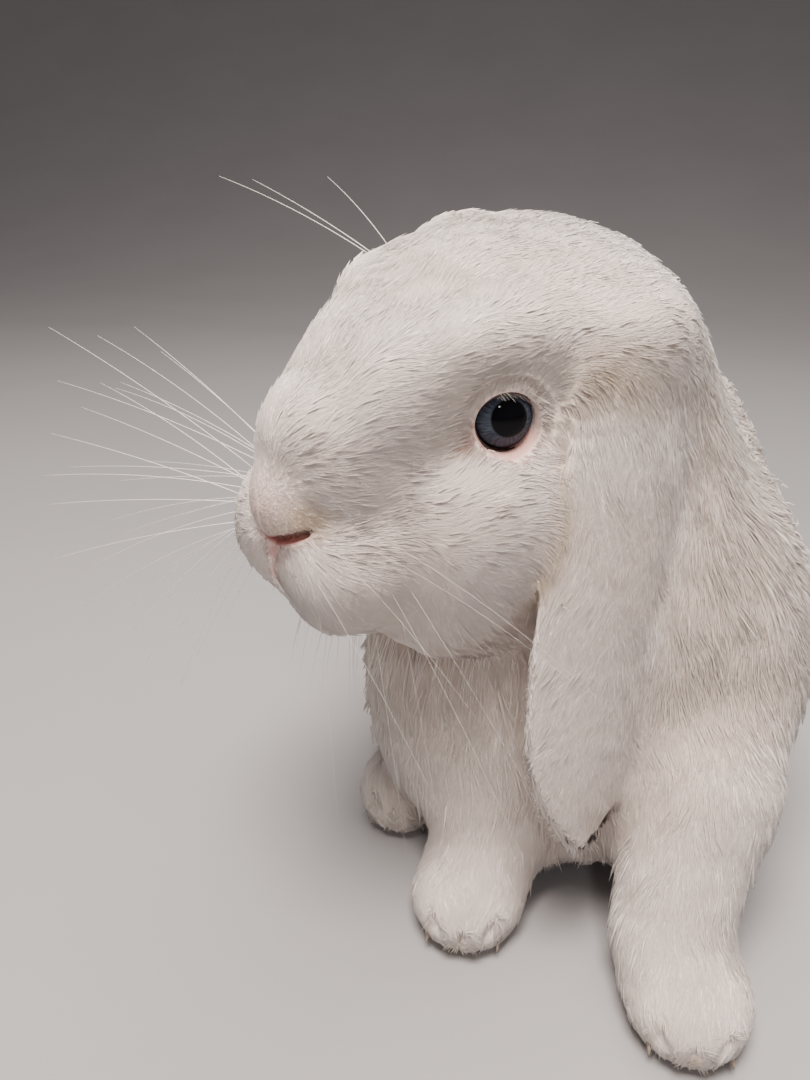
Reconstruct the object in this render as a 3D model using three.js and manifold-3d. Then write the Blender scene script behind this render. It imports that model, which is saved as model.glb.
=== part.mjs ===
// A lop-eared rabbit, life size, as a still display model. Millimetres, +Z up.
// It sits up on its forelegs and faces -Y, with its head turned to its own right (-X) and tilted.
// Every form is a rounded blob or a tapered rod, out to the tips of the coat.
// The blobs are blended into one smooth body, which thin cuts part into named pieces.
// The origin is under the middle of the whole model's box, on the floor.
import * as THREE from "three";
import { mergeVertices } from "three/addons/utils/BufferGeometryUtils.js";
import Module from "manifold-3d";

const wasm = await Module();
wasm.setup();
const { Manifold, Mesh: ManifoldMesh } = wasm;

// ---------------------------------------------------------------- driving dimensions
const GAP = 0.3; // between two pieces that meet
const CLEAR = 3; // under the belly: only the feet touch the floor
const SIDES = { left: 1, right: -1 }; // the rabbit's own left is +X

// The head's own frame: x to the nose, y to its left, z up, with zero midway between the eyes.
const HEAD = {
  place: new THREE.Vector3(-42, 31, 150),
  turn: 40, // degrees to the rabbit's right
  nod: 2, // degrees, nose down
  tilt: 13, // degrees, left side down
};
const EYE = {
  at: new THREE.Vector3(-2.5, 17.5, -1.5), // in the head's frame, for the left one
  opening: new THREE.Vector3(0.9, 28.3, -1.5), // the middle of what cuts the lids open
  radius: 8.7,
  sides: 12,
  rings: 7,
};

const EAR = {
  width: 39,
  thick: 8,
  cup: 3, // how far its edges curl in
  turn: 8, // degrees that its face turns to the front
  stations: 12,
  sides: 8,
  tip: { left: new THREE.Vector3(0.7, 16, 38), right: new THREE.Vector3(-62, 88, 58) },
};
const SHOULDER = { left: new THREE.Vector3(35, 75, 70), right: new THREE.Vector3(-40, 68, 56) };
const FOREFOOT = {
  left: { x: 26.5, toe: -17 },
  right: { x: -29, toe: 7 },
  length: 40,
  width: 31,
  height: 21,
};
const HINDFOOT = {
  left: { x: 51, toe: 97 },
  right: { x: -54, toe: 49 },
  length: 97,
  width: 27,
  height: 25,
};
const WHISKER = {
  count: 7,
  length: 66,
  root: 0.9, // thickness at each end
  tip: 0.5,
  highest: 28, // degrees over the head's level, for the first and the last of the fan
  lowest: -60,
  aside: { left: 86, right: 62 }, // degrees from the nose's direction
  stagger: 12, // degrees further aside for every second one
  sides: 3,
  steps: 3,
};

// Mesh steps, in mm: the head is finer than the trunk.
const STEP = { head: 8.6, neck: 14, trunk: 19, foreleg: 12, thigh: 14, foot: 8.5, tail: 10 };
const SHORT_EDGE = 0.03;
const FAR = 1e3; // a distance beyond every form

// ---------------------------------------------------------------- blobs, rods and blends
const rad = THREE.MathUtils.degToRad;
const V = (x, y, z) => new THREE.Vector3(x, y, z);

// Signed distance, nearly, to an ellipsoid.
function blob(centre, radii) {
  return (p) => {
    const x = (p.x - centre.x) / radii.x;
    const y = (p.y - centre.y) / radii.y;
    const z = (p.z - centre.z) / radii.z;
    const k0 = Math.hypot(x, y, z);
    const k1 = Math.hypot(x / radii.x, y / radii.y, z / radii.z);
    return k1 < 1e-9 ? -Math.min(radii.x, radii.y, radii.z) : (k0 * (k0 - 1)) / k1;
  };
}

// Signed distance, nearly, to a rod whose radius runs from ra at a to rb at b.
function rod(a, ra, b, rb) {
  const ab = b.clone().sub(a);
  const length2 = ab.lengthSq();
  return (p) => {
    const ax = p.x - a.x;
    const ay = p.y - a.y;
    const az = p.z - a.z;
    const t = THREE.MathUtils.clamp((ax * ab.x + ay * ab.y + az * ab.z) / length2, 0, 1);
    return Math.hypot(ax - t * ab.x, ay - t * ab.y, az - t * ab.z) - (ra + (rb - ra) * t);
  };
}

// Two distances joined with a fillet about k wide.
function soften(a, b, k) {
  const h = Math.max(k - Math.abs(a - b), 0) / k;
  return Math.min(a, b) - (h * h * k) / 4;
}

const joined = (fields, k) => (p) => fields.reduce((d, f) => soften(d, f(p), k), FAR);

// ---------------------------------------------------------------- the head's frame
const headBasis = (() => {
  const level = new THREE.Matrix4().makeBasis(V(0, -1, 0), V(1, 0, 0), V(0, 0, 1));
  const turn = new THREE.Matrix4().makeRotationZ(-rad(HEAD.turn));
  const nod = new THREE.Matrix4().makeRotationY(rad(HEAD.nod));
  const tilt = new THREE.Matrix4().makeRotationX(-rad(HEAD.tilt));
  const m = turn.multiply(level).multiply(nod).multiply(tilt);
  return m.setPosition(HEAD.place);
})();
const headInverse = headBasis.clone().invert();
const fromHead = (v) => v.clone().applyMatrix4(headBasis);
const onSide = (v, s) => fromHead(V(v.x, v.y * s, v.z));
const inHead = (field) => {
  const q = V(0, 0, 0);
  return (p) => field(q.copy(p).applyMatrix4(headInverse));
};

// ---------------------------------------------------------------- the forms
function headForms() {
  const both = (make) => [make(1), make(-1)];
  const skull = [
    blob(V(-24, 0, 3), V(33, 31, 29)),
    rod(V(-8, 0, 5), 23, V(27, 0, -9), 15.5), // the arched bridge
    blob(V(-36, 0, 12), V(24, 34, 19)), // the crown between the ears
    blob(V(35, 0, -22), V(9, 10.5, 10)), // nose
    blob(V(21, 0, -51), V(12, 13, 13)), // chin
  ];
  const paired = [
    ...both((s) => blob(V(-9, 20 * s, -31), V(31, 22, 29))), // jowl
    ...both((s) => blob(V(27, 10.5 * s, -36), V(14, 13.5, 16))), // whisker pad
    ...both((s) => rod(V(-16, 21 * s, 16), 10, V(5, 18 * s, 15), 9)), // brow
    ...both((s) => blob(V(9, 8 * s, 4), V(18, 12, 13))), // from the brow down beside the bridge
    ...both((s) => blob(V(-32, 28 * s, 12), V(17, 12, 14))), // the root of the ear
  ];
  return joined([...skull, ...paired], 8);
}

function trunkForms() {
  return joined(
    [
      blob(V(0, 62, 80), V(45, 38, 56)), // chest
      blob(V(0, 54, 42), V(36, 28, 38)), // brisket, low between the forelegs
      blob(V(0, 128, 76), V(60, 76, 62)), // ribs
      blob(V(0, 186, 75), V(66, 62, 67)), // rump
      blob(SHOULDER.left, V(26, 34, 44)),
      blob(SHOULDER.right, V(26, 36, 50)),
    ],
    16,
  );
}

const neckForm = rod(V(-2, 84, 104), 42, V(-13, 60, 140), 38);

function forelegForm(side) {
  const s = SIDES[side];
  const foot = FOREFOOT[side];
  const wristAt = foot.toe + 30;
  const upper = rod(V(38 * s, 70, 62), 23, V(30 * s, wristAt + 22, 44), 19);
  const lower = rod(V(30 * s, wristAt + 22, 44), 19, V(foot.x - 4 * s, wristAt, 16), 15);
  return joined([upper, lower], 8);
}

// A paw: a rounded foot with its toe at the front and a flat sole, cut level with the floor.
function footForm(place, size) {
  const half = size.width / 2;
  const heel = place.toe + size.length - half * 0.8;
  const toe = place.toe + half;
  const height = size.height / 2;
  const raise = height * 0.82;
  const toes = blob(V(place.x, toe + 3, raise), V(half, half + 3, height));
  const sole = rod(V(place.x, heel, raise), half * 0.78, V(place.x, toe, raise), half * 0.82);
  return joined([toes, sole], 5);
}

function thighForm(side) {
  const s = SIDES[side];
  const back = HINDFOOT[side].toe - HINDFOOT.right.toe; // this leg stands so much further back
  const shift = back * 0.5;
  return joined(
    [
      blob(V(44 * s, 178 + shift * 0.4, 54), V(31, 52, 48)),
      rod(V(46 * s, 170 + shift, 46), 24, V(49 * s, 128 + shift, 36), 19),
    ],
    12,
  );
}

const tailForm = joined([blob(V(0, 252, 44), V(19, 14, 24)), blob(V(0, 244, 30), V(22, 14, 18))], 8);

const forms = {
  head: inHead(headForms()),
  trunk: trunkForms(),
  neck: neckForm,
  tail: tailForm,
  foreleg: { left: forelegForm("left"), right: forelegForm("right") },
  forefoot: { left: footForm(FOREFOOT.left, FOREFOOT), right: footForm(FOREFOOT.right, FOREFOOT) },
  thigh: { left: thighForm("left"), right: thighForm("right") },
  hindfoot: { left: footForm(HINDFOOT.left, HINDFOOT), right: footForm(HINDFOOT.right, HINDFOOT) },
};

// The whole body, blended. Each joint has the fillet that its flesh and coat make there.
function body(p) {
  let d = soften(forms.trunk(p), forms.neck(p), 18);
  d = soften(d, forms.tail(p), 6);
  for (const side of Object.keys(SIDES)) {
    d = soften(d, forms.foreleg[side](p), 12);
    d = soften(d, forms.thigh[side](p), 10);
  }
  for (const side of Object.keys(SIDES)) {
    d = soften(d, forms.forefoot[side](p), 7);
  }
  return soften(d, forms.head(p), 9);
}

// ---------------------------------------------------------------- meshing
// Solids hold points merged to the micrometre.
function toSolid(geometry) {
  const plain = geometry.index ? geometry.toNonIndexed() : geometry;
  const bare = new THREE.BufferGeometry().setAttribute("position", plain.getAttribute("position"));
  const merged = mergeVertices(bare, 1e-3);
  return new Manifold(
    new ManifoldMesh({
      numProp: 3,
      vertProperties: new Float32Array(merged.attributes.position.array),
      triVerts: new Uint32Array(merged.index.array),
    }),
  );
}

// The cuts leave a few edges too short to keep, and their ends become one point.
function toGeometry(solid) {
  const { vertProperties, triVerts } = solid.getMesh();
  const point = (i) => V(0, 0, 0).fromArray(vertProperties, 3 * i);
  const same = Array.from({ length: vertProperties.length / 3 }, (_, i) => i);
  const kept = (i) => (same[i] === i ? i : kept(same[i]));
  for (let f = 0; f < triVerts.length; f += 3) {
    for (let e = 0; e < 3; e++) {
      const [a, b] = [triVerts[f + e], triVerts[f + ((e + 1) % 3)]];
      if (point(a).distanceTo(point(b)) < SHORT_EDGE) same[kept(a)] = kept(b);
    }
  }
  const faces = new Map(); // by their corners, so that two faces folded together cancel
  for (let f = 0; f < triVerts.length; f += 3) {
    const corners = [0, 1, 2].map((e) => kept(triVerts[f + e]));
    const key = corners.toSorted((a, b) => a - b).join();
    if (faces.has(key)) faces.delete(key);
    else if (new Set(corners).size === 3) faces.set(key, corners);
  }
  const geometry = new THREE.BufferGeometry();
  geometry.setAttribute("position", new THREE.BufferAttribute(vertProperties, 3));
  return geometry.setIndex([...faces.values()].flat());
}

// Surface nets: one point in each grid cell that the surface crosses, and a face across each crossed edge.
// Each point is then moved onto the surface along its slope, within its cell.
function gridNet(field, box, step) {
  const size = box.getSize(V(0, 0, 0));
  const n = [size.x, size.y, size.z].map((s) => Math.ceil(s / step) + 1);
  const at = (i, j, k) => V(box.min.x + i * step, box.min.y + j * step, box.min.z + k * step);
  const key = (i, j, k) => (i * n[1] + j) * n[2] + k;
  const value = new Float64Array(n[0] * n[1] * n[2]);
  for (let i = 0; i < n[0]; i++)
    for (let j = 0; j < n[1]; j++) for (let k = 0; k < n[2]; k++) value[key(i, j, k)] = field(at(i, j, k));

  const points = [];
  const pointOf = new Map();
  const corners = [0, 1, 2, 3, 4, 5, 6, 7].map((c) => [c & 1, (c >> 1) & 1, (c >> 2) & 1]);
  const edges = corners.flatMap((a, ia) =>
    [1, 2, 4].filter((bit) => !(ia & bit)).map((bit) => [a, corners[ia | bit]]),
  );
  const cellPoint = (i, j, k) => {
    const id = key(i, j, k);
    if (pointOf.has(id)) return pointOf.get(id);
    const sum = V(0, 0, 0);
    let count = 0;
    for (const [a, b] of edges) {
      const va = value[key(i + a[0], j + a[1], k + a[2])];
      const vb = value[key(i + b[0], j + b[1], k + b[2])];
      if (va < 0 === vb < 0) continue;
      sum.add(at(i + a[0], j + a[1], k + a[2]).lerp(at(i + b[0], j + b[1], k + b[2]), va / (va - vb)));
      count++;
    }
    const p = sum.divideScalar(count);
    for (let round = 0; round < 3; round++) settle(p, field, step);
    p.clamp(at(i, j, k), at(i + 1, j + 1, k + 1));
    points.push(p.x, p.y, p.z);
    pointOf.set(id, points.length / 3 - 1);
    return points.length / 3 - 1;
  };

  const faces = [];
  const axes = [V(1, 0, 0), V(0, 1, 0), V(0, 0, 1)];
  for (let i = 1; i < n[0] - 1; i++)
    for (let j = 1; j < n[1] - 1; j++)
      for (let k = 1; k < n[2] - 1; k++)
        axes.forEach((axis, m) => {
          const here = value[key(i, j, k)] < 0;
          const next = value[key(i + axis.x, j + axis.y, k + axis.z)] < 0;
          if (here === next) return;
          const u = axes[(m + 1) % 3];
          const v = axes[(m + 2) % 3];
          const cell = (a, b) =>
            cellPoint(i - a * u.x - b * v.x, j - a * u.y - b * v.y, k - a * u.z - b * v.z);
          const ring = [cell(0, 0), cell(1, 0), cell(1, 1), cell(0, 1)];
          if (!here) ring.reverse();
          faces.push(ring[0], ring[1], ring[2], ring[0], ring[2], ring[3]);
        });
  const geometry = new THREE.BufferGeometry();
  return geometry.setAttribute("position", new THREE.Float32BufferAttribute(points, 3)).setIndex(faces);
}

// The same, on the first of a few shifted grids where no thin ridge crosses a cell twice.
// Each edge then has two faces.
function netOf(field, box, step) {
  for (let shift = 0; ; shift += 0.15) {
    const net = gridNet(field, box.clone().translate(V(shift, shift, shift).multiplyScalar(step)), step);
    const corners = net.index.array;
    const uses = new Map();
    corners.forEach((a, i) => {
      const b = corners[i % 3 === 2 ? i - 2 : i + 1];
      const edge = Math.min(a, b) * corners.length + Math.max(a, b);
      uses.set(edge, (uses.get(edge) ?? 0) + 1);
    });
    if (shift > 1 || [...uses.values()].every((count) => count === 2)) return net;
  }
}

// How fast a field rises at p along each axis.
function slopeAt(p, field) {
  const h = 0.5;
  const rise = (dx, dy, dz) =>
    field(V(p.x + dx, p.y + dy, p.z + dz)) - field(V(p.x - dx, p.y - dy, p.z - dz));
  return V(rise(h, 0, 0), rise(0, h, 0), rise(0, 0, h)).divideScalar(2 * h);
}

// Moves p along the field's slope to where the field is zero, by no more than a third of a step.
function settle(p, field, step) {
  const slope = slopeAt(p, field);
  const move = THREE.MathUtils.clamp(field(p) / Math.max(slope.lengthSq(), 0.2), -step / 3, step / 3);
  p.addScaledVector(slope, -move);
}

// ---------------------------------------------------------------- cutting
const biggest = (solid) => solid.decompose().sort((a, b) => b.volume() - a.volume())[0];

// The part of a field inside a box.
function within(field, box) {
  const middle = box.getCenter(V(0, 0, 0));
  const half = box.getSize(V(0, 0, 0)).multiplyScalar(0.5);
  return (p) =>
    Math.max(
      field(p),
      Math.abs(p.x - middle.x) - half.x,
      Math.abs(p.y - middle.y) - half.y,
      Math.abs(p.z - middle.z) - half.z,
    );
}

// A form inside a box, meshed with the given step. Every cut lies inside the box's faces.
function meshed(form, box, step) {
  const room = box.clone().expandByScalar(1.6 * step);
  return toSolid(netOf(within(form, box), room, step));
}
const flesh = (box, step) => meshed(body, box, step);

// A cutting ellipsoid, and the same one a gap larger. Its facets come a little inside the true one.
function lens(centre, radii, detail = 2) {
  const make = (grow) =>
    toSolid(
      new THREE.IcosahedronGeometry(1, detail)
        .scale(radii.x + grow, radii.y + grow, radii.z + grow)
        .translate(centre.x, centre.y, centre.z),
    );
  return { inside: make(0), outside: make(GAP * 1.15) };
}

// Keeps what lies beyond a plane, on the side that its normal points to.
function beyond(solid, plane, gap = 0) {
  const n = plane.normal.clone().normalize();
  return solid.trimByPlane([n.x, n.y, n.z], n.dot(plane.point) + gap);
}

// Keeps the other side of it.
const behind = (solid, plane, gap = 0) =>
  beyond(solid, { point: plane.point, normal: plane.normal.clone().negate() }, gap);
const level = (z) => ({ point: V(0, 0, z), normal: V(0, 0, 1) });

// ---------------------------------------------------------------- ears
// A drop-shaped flap that hangs along a curve. Its flat side faces the head, and its middle bulges outwards.
function earSolid(side, grow) {
  const s = SIDES[side];
  const root = fromHead(V(-27, 12 * s, 6));
  const bend = fromHead(V(-29, 30 * s, 13));
  const fall = fromHead(V(-30, 39 * s, -1));
  const tip = EAR.tip[side];
  const lower = fall.clone().lerp(tip, 0.7);
  const line = new THREE.CatmullRomCurve3([root, bend, fall, lower, tip], false, "centripetal");
  const ahead = V(1, 0, 0).transformDirection(headBasis);
  const forward = ahead.applyAxisAngle(V(0, 0, 1), -rad(EAR.turn * s));
  const rows = [];
  for (let i = 0; i < EAR.stations; i++) {
    const t = i / (EAR.stations - 1);
    const p = line.getPointAt(t);
    const along = line.getTangentAt(t);
    const out = V(0, 0, 0).crossVectors(forward, along).normalize().multiplyScalar(s);
    const across = V(0, 0, 0).crossVectors(along, out).normalize();
    // It widens from its root and rounds off at its tip.
    const spread = 0.5 + 0.5 * Math.sin(Math.PI * t ** 1.15);
    const round = Math.sqrt(Math.max(1 - Math.max((t - 0.78) / 0.22, 0) ** 2, 0.03));
    const half = (EAR.width / 2) * spread * round + grow;
    const thick = (EAR.thick / 2) * (1.1 - 0.3 * t) * Math.max(round, 0.5) + grow;
    const end = i === 0 ? -grow : i === EAR.stations - 1 ? grow : 0;
    rows.push(
      Array.from({ length: EAR.sides }, (_, k) => {
        const a = (2 * Math.PI * k) / EAR.sides;
        const cup = -EAR.cup * ((half / EAR.width) * 2 * Math.cos(a)) ** 2;
        return p
          .clone()
          .addScaledVector(along, end)
          .addScaledVector(across, half * Math.cos(a))
          .addScaledVector(out, thick * Math.sin(a) + cup);
      }),
    );
  }
  return loft(rows);
}

// Closed skin through rings of points, with a fan over each end.
function loft(rows) {
  const sides = rows[0].length;
  const middle = (row) => row.reduce((sum, p) => sum.add(p), V(0, 0, 0)).divideScalar(sides);
  const points = [...rows.flat(), middle(rows[0]), middle(rows.at(-1))];
  const faces = [];
  const at = (i, k) => i * sides + (k % sides);
  for (let k = 0; k < sides; k++) {
    for (let i = 0; i < rows.length - 1; i++) {
      faces.push(at(i, k), at(i, k + 1), at(i + 1, k + 1), at(i, k), at(i + 1, k + 1), at(i + 1, k));
    }
    faces.push(points.length - 2, at(0, k + 1), at(0, k));
    faces.push(points.length - 1, at(rows.length - 1, k), at(rows.length - 1, k + 1));
  }
  const made = (index) => toSolid(new THREE.BufferGeometry().setFromPoints(points).setIndex(index));
  const solid = made(faces);
  return solid.volume() > 0 ? solid : made(faces.toReversed());
}

// ---------------------------------------------------------------- whiskers
// One tapered hair from the pad, curving down as it goes.
function whisker(from, direction, droop) {
  const u = V(0, 0, 1).cross(direction).normalize();
  const v = direction.clone().cross(u);
  const rows = [];
  for (let i = 0; i <= WHISKER.steps; i++) {
    const t = i / WHISKER.steps;
    const p = from.clone().addScaledVector(direction, WHISKER.length * t).add(V(0, 0, -droop * t * t));
    const r = THREE.MathUtils.lerp(WHISKER.root, WHISKER.tip, t) / 2;
    rows.push(
      Array.from({ length: WHISKER.sides }, (_, k) => {
        const a = (2 * Math.PI * k) / WHISKER.sides;
        return p.clone().addScaledVector(u, r * Math.cos(a)).addScaledVector(v, r * Math.sin(a));
      }),
    );
  }
  return loft(rows);
}

// A fan of them, from over the nose's level down to the lip.
function whiskers(side) {
  const s = SIDES[side];
  return Array.from({ length: WHISKER.count }, (_, i) => {
    const t = i / (WHISKER.count - 1);
    const lift = rad(THREE.MathUtils.lerp(WHISKER.highest, WHISKER.lowest, t));
    const aside = rad(WHISKER.aside[side] + WHISKER.stagger * (i % 2));
    const from = fromHead(V(30 - 3 * (i % 2), 19 * s, -29 - 10 * t));
    const direction = V(Math.cos(aside), s * Math.sin(aside), Math.tan(lift));
    return whisker(from, direction.transformDirection(headBasis), 5 + 6 * t);
  });
}

// ---------------------------------------------------------------- pieces
const around = (x0, y0, z0, x1, y1, z1) => new THREE.Box3(V(x0, y0, z0), V(x1, y1, z1));
const nape = { point: V(-16, 62, 124), normal: V(-0.5, -0.6, 0.6) }; // between head and neck
const collar = { point: V(-6, 76, 108), normal: V(-0.2, -0.5, 0.84) }; // between neck and trunk
const cuts = { tail: lens(V(0, 258, 38), V(27, 17, 31)) };
for (const [side, s] of Object.entries(SIDES)) {
  const stride = FOREFOOT[side].toe;
  cuts["foreleg_" + side] = lens(V(35 * s, 40 + stride / 2, 24), V(34.5, 60, 62));
  cuts["thigh_" + side] = lens(V(62 * s, HINDFOOT[side].toe / 4 + 163, 46), V(40, 64, 66));
  cuts["forefoot_" + side] = lens(V(FOREFOOT[side].x, stride + 20, 2), V(20, 33, 22));
  cuts["hindfoot_" + side] = lens(V(HINDFOOT[side].x, HINDFOOT[side].toe + 40, 8), V(18, 74, 21));
}
const solids = new Map();

// The head, with its ears, eyes and whisker pads let into it.
let head = beyond(flesh(around(-125, -45, 75, 60, 125, 205), STEP.head), nape);
const earSeats = [];
for (const [side, s] of Object.entries(SIDES)) {
  solids.set("ear_" + side, earSolid(side, 0));
  earSeats.push(earSolid(side, 2 * GAP));

  const eyeAt = onSide(EYE.at, s);
  const ball = (grow) => {
    const globe = new THREE.SphereGeometry(EYE.radius + grow, EYE.sides, EYE.rings);
    return toSolid(globe.translate(eyeAt.x, eyeAt.y, eyeAt.z));
  };
  const opening = lens(onSide(EYE.opening, s), V(8, 8, 7.5));
  solids.set("eye_" + side, ball(0));
  head = head.subtract(opening.inside).subtract(ball(GAP));

  const pad = lens(fromHead(V(30, 16 * s, -34)), V(12, 12, 12), 1);
  const padFlesh = biggest(head.intersect(pad.inside));
  solids.set("whiskers_" + side, whiskers(side).reduce((sum, hair) => sum.add(hair), padFlesh));
  head = head.subtract(pad.outside);
}
const seated = (solid) => biggest(earSeats.reduce((left, seat) => left.subtract(seat), solid));
const below = (solid) => behind(behind(solid, collar), nape, GAP); // the neck and the head
solids.set("head", seated(head));

// The limbs, each parted from its foot.
for (const side of Object.keys(SIDES)) {
  const [x0, x1] = side === "left" ? [-2, 105] : [-105, 2];
  const { inside, outside } = cuts["forefoot_" + side];
  const forefoot = flesh(around(x0, -30, -8, x1, 66, 40), STEP.foot).intersect(inside);
  solids.set("forefoot_" + side, biggest(beyond(forefoot, level(0))));

  const foreleg = flesh(around(x0, -30, -8, x1, 125, 120), STEP.foreleg)
    .intersect(cuts["foreleg_" + side].inside)
    .subtract(outside)
    .subtract(cuts["hindfoot_" + side].outside);
  solids.set("foreleg_" + side, seated(below(beyond(foreleg, level(CLEAR)))));

  const hindfoot = meshed(forms.hindfoot[side], around(x0, 20, -8, x1, 215, 45), STEP.foot);
  solids.set("hindfoot_" + side, biggest(beyond(hindfoot, level(0))));

  const thigh = flesh(around(x0, 85, -8, x1, 260, 125), STEP.thigh)
    .intersect(cuts["thigh_" + side].inside)
    .subtract(cuts["hindfoot_" + side].outside);
  solids.set("thigh_" + side, biggest(beyond(thigh, level(CLEAR))));
}

const tail = flesh(around(-40, 210, -8, 40, 290, 85), STEP.tail).intersect(cuts.tail.inside);
solids.set("tail", biggest(beyond(tail, level(CLEAR))));

// What is left is the trunk and the neck.
const neck = flesh(around(-95, -20, 60, 95, 150, 190), STEP.neck);
solids.set("neck", seated(beyond(behind(neck, nape, GAP), collar, GAP)));
const barrel = flesh(around(-95, -5, -8, 95, 290, 170), STEP.trunk);
let trunk = beyond(below(barrel), level(CLEAR));
for (const cut of Object.values(cuts)) trunk = trunk.subtract(cut.outside);
solids.set("trunk", seated(trunk));

// ---------------------------------------------------------------- the group
const coat = (color) => new THREE.MeshStandardMaterial({ color, roughness: 0.95, metalness: 0 });
const LOOKS = {
  eye: new THREE.MeshStandardMaterial({ color: 0x2a2f40, roughness: 0.08, metalness: 0 }),
  whiskers: coat(0xeeebe8),
  ear: coat(0xe4dedb),
  flesh: coat(0xe2dcd5),
};

const rabbit = new THREE.Group();
for (const [name, solid] of solids) {
  const look = LOOKS[name.split("_")[0]] ?? LOOKS.flesh;
  const mesh = new THREE.Mesh(toGeometry(solid), look);
  mesh.name = name;
  rabbit.add(mesh);
}

// Puts the origin under the middle of the box.
const box = new THREE.Box3().setFromObject(rabbit);
const centre = box.getCenter(V(0, 0, 0));
rabbit.position.set(-centre.x, -centre.y, 0);

export default rabbit;
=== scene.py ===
"""A white lop-eared rabbit, life size and still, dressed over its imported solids.

The body is one distance field of rounded forms, which follows the sizes of the solids. The skin is
the field's surface, sunk by the depth of the coat. The coat grows on it in thin closed tufts laid
along its curve, and the eyes, lid rims, lashes, whiskers and claws are pieces of their own. Forms
are given in millimetres in the body's own frame, which stands on the floor, or in the head's;
meshes are in metres in the row's.
"""

import logging
import math
from collections.abc import Callable, Sequence
from dataclasses import dataclass, field
from enum import Enum, auto
from typing import ClassVar

import bpy
import numpy as np
from mathutils import Matrix, Vector


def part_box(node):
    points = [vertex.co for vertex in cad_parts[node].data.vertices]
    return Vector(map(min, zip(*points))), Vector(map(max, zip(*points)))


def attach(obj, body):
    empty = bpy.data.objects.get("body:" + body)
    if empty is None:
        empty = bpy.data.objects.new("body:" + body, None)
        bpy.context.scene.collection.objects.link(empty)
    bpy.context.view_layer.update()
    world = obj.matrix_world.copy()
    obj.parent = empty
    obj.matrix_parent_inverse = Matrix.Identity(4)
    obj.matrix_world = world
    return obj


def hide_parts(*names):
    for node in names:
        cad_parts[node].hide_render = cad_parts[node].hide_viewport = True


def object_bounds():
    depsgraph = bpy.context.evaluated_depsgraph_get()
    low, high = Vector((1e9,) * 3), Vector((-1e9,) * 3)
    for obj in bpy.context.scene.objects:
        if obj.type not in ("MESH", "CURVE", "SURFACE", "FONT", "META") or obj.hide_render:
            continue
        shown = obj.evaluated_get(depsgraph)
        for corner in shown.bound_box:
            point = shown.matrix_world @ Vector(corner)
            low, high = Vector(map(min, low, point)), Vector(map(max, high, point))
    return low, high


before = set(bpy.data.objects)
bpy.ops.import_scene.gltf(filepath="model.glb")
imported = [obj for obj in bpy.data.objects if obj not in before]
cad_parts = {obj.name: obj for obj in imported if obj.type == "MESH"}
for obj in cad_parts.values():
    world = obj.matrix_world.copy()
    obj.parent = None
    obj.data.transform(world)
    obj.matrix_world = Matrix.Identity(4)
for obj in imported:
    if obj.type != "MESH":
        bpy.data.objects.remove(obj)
SOLID_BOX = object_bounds()

Array = np.ndarray
Field = Callable[[Array], Array]
Triple = tuple[float, float, float]
Pair = tuple[float, float]

MM = 0.001
ROOT_BODY = "root"
FLOOR_CLEARANCE = 0.25  # mm, between the floor and the lowest hair
SKIN_CLEARANCE = 0.55  # mm, between the floor and the soles
SEED = 11
DOWNWARDS = np.array((0.0, 0, -1))

log = logging.getLogger("rabbit")


class Side(Enum):
    """The rabbit's own sides. Its left is +X in the row frame and +y in the head's."""

    LEFT = 1
    RIGHT = -1


# ------------------------------------------------------------------------------- vectors


def dot(a: Array, b: Array) -> Array:
    """The scalar product along the last axis."""
    return np.einsum("...i,...i->...", a, b)


def length(a: Array) -> Array:
    """The length along the last axis."""
    return np.sqrt(dot(a, a))


def unit(a: Array) -> Array:
    """Each vector divided by its length."""
    return a / np.maximum(length(a), 1e-9)[..., None]


def smoothstep(low: float, high: float, x: Array) -> Array:
    """0 below low, 1 above high, and the cubic 3t^2 - 2t^3 between them."""
    t = np.clip((x - low) / (high - low), 0, 1)
    return t * t * (3 - 2 * t)


def soften(a: Array, b: Array, k: float) -> Array:
    """Two distances joined with a fillet k wide: min(a, b) - h^2 k / 4.

    Args:
        a: One distance.
        b: The other.
        k: The fillet's width; h is the share of it by which they differ less than k.

    Returns:
        The joined distance.
    """
    h = np.maximum(k - np.abs(a - b), 0) / k
    return np.minimum(a, b) - h * h * k / 4


def carve(a: Array, b: Array, k: float) -> Array:
    """The solid a with b taken out of it, with its edge rounded over k."""
    return -soften(-a, b, k)


def ripple(p: Array, wave: float, seed: int) -> Array:
    """A smooth pseudo-random field of about -1 to 1, as a sum of a few plane waves.

    Args:
        p: Points, in mm.
        wave: The mean wavelength, in mm.
        seed: Picks the waves' directions and phases.

    Returns:
        One value for each point.
    """
    waves, loudest, full_turn = 5, 2.6, 6.28
    rng = np.random.default_rng(seed)
    total = np.zeros(len(p))
    for _ in range(waves):
        heading = unit(rng.normal(size=3))
        pace = 2 * math.pi / (wave * rng.uniform(0.7, 1.4))
        total += np.sin(p @ heading * pace + rng.uniform(0, full_turn))
    return total / loudest


# ------------------------------------------------------------------------------- forms


@dataclass(frozen=True)
class Blob:
    """A rounded ellipsoid, sunk by the coat's depth over it."""

    centre: Triple
    radii: Triple
    coat: float = 0.0

    def distance(self, p: Array) -> Array:
        """Nearly the signed distance: k0 (k0 - 1) / k1, k0 and k1 being the scaled lengths."""
        radii = np.array(self.radii, p.dtype)
        q = (p - np.array(self.centre, p.dtype)) / radii
        k0 = length(q)
        return k0 * (k0 - 1) / np.maximum(length(q / radii), 1e-6) + self.coat


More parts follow.
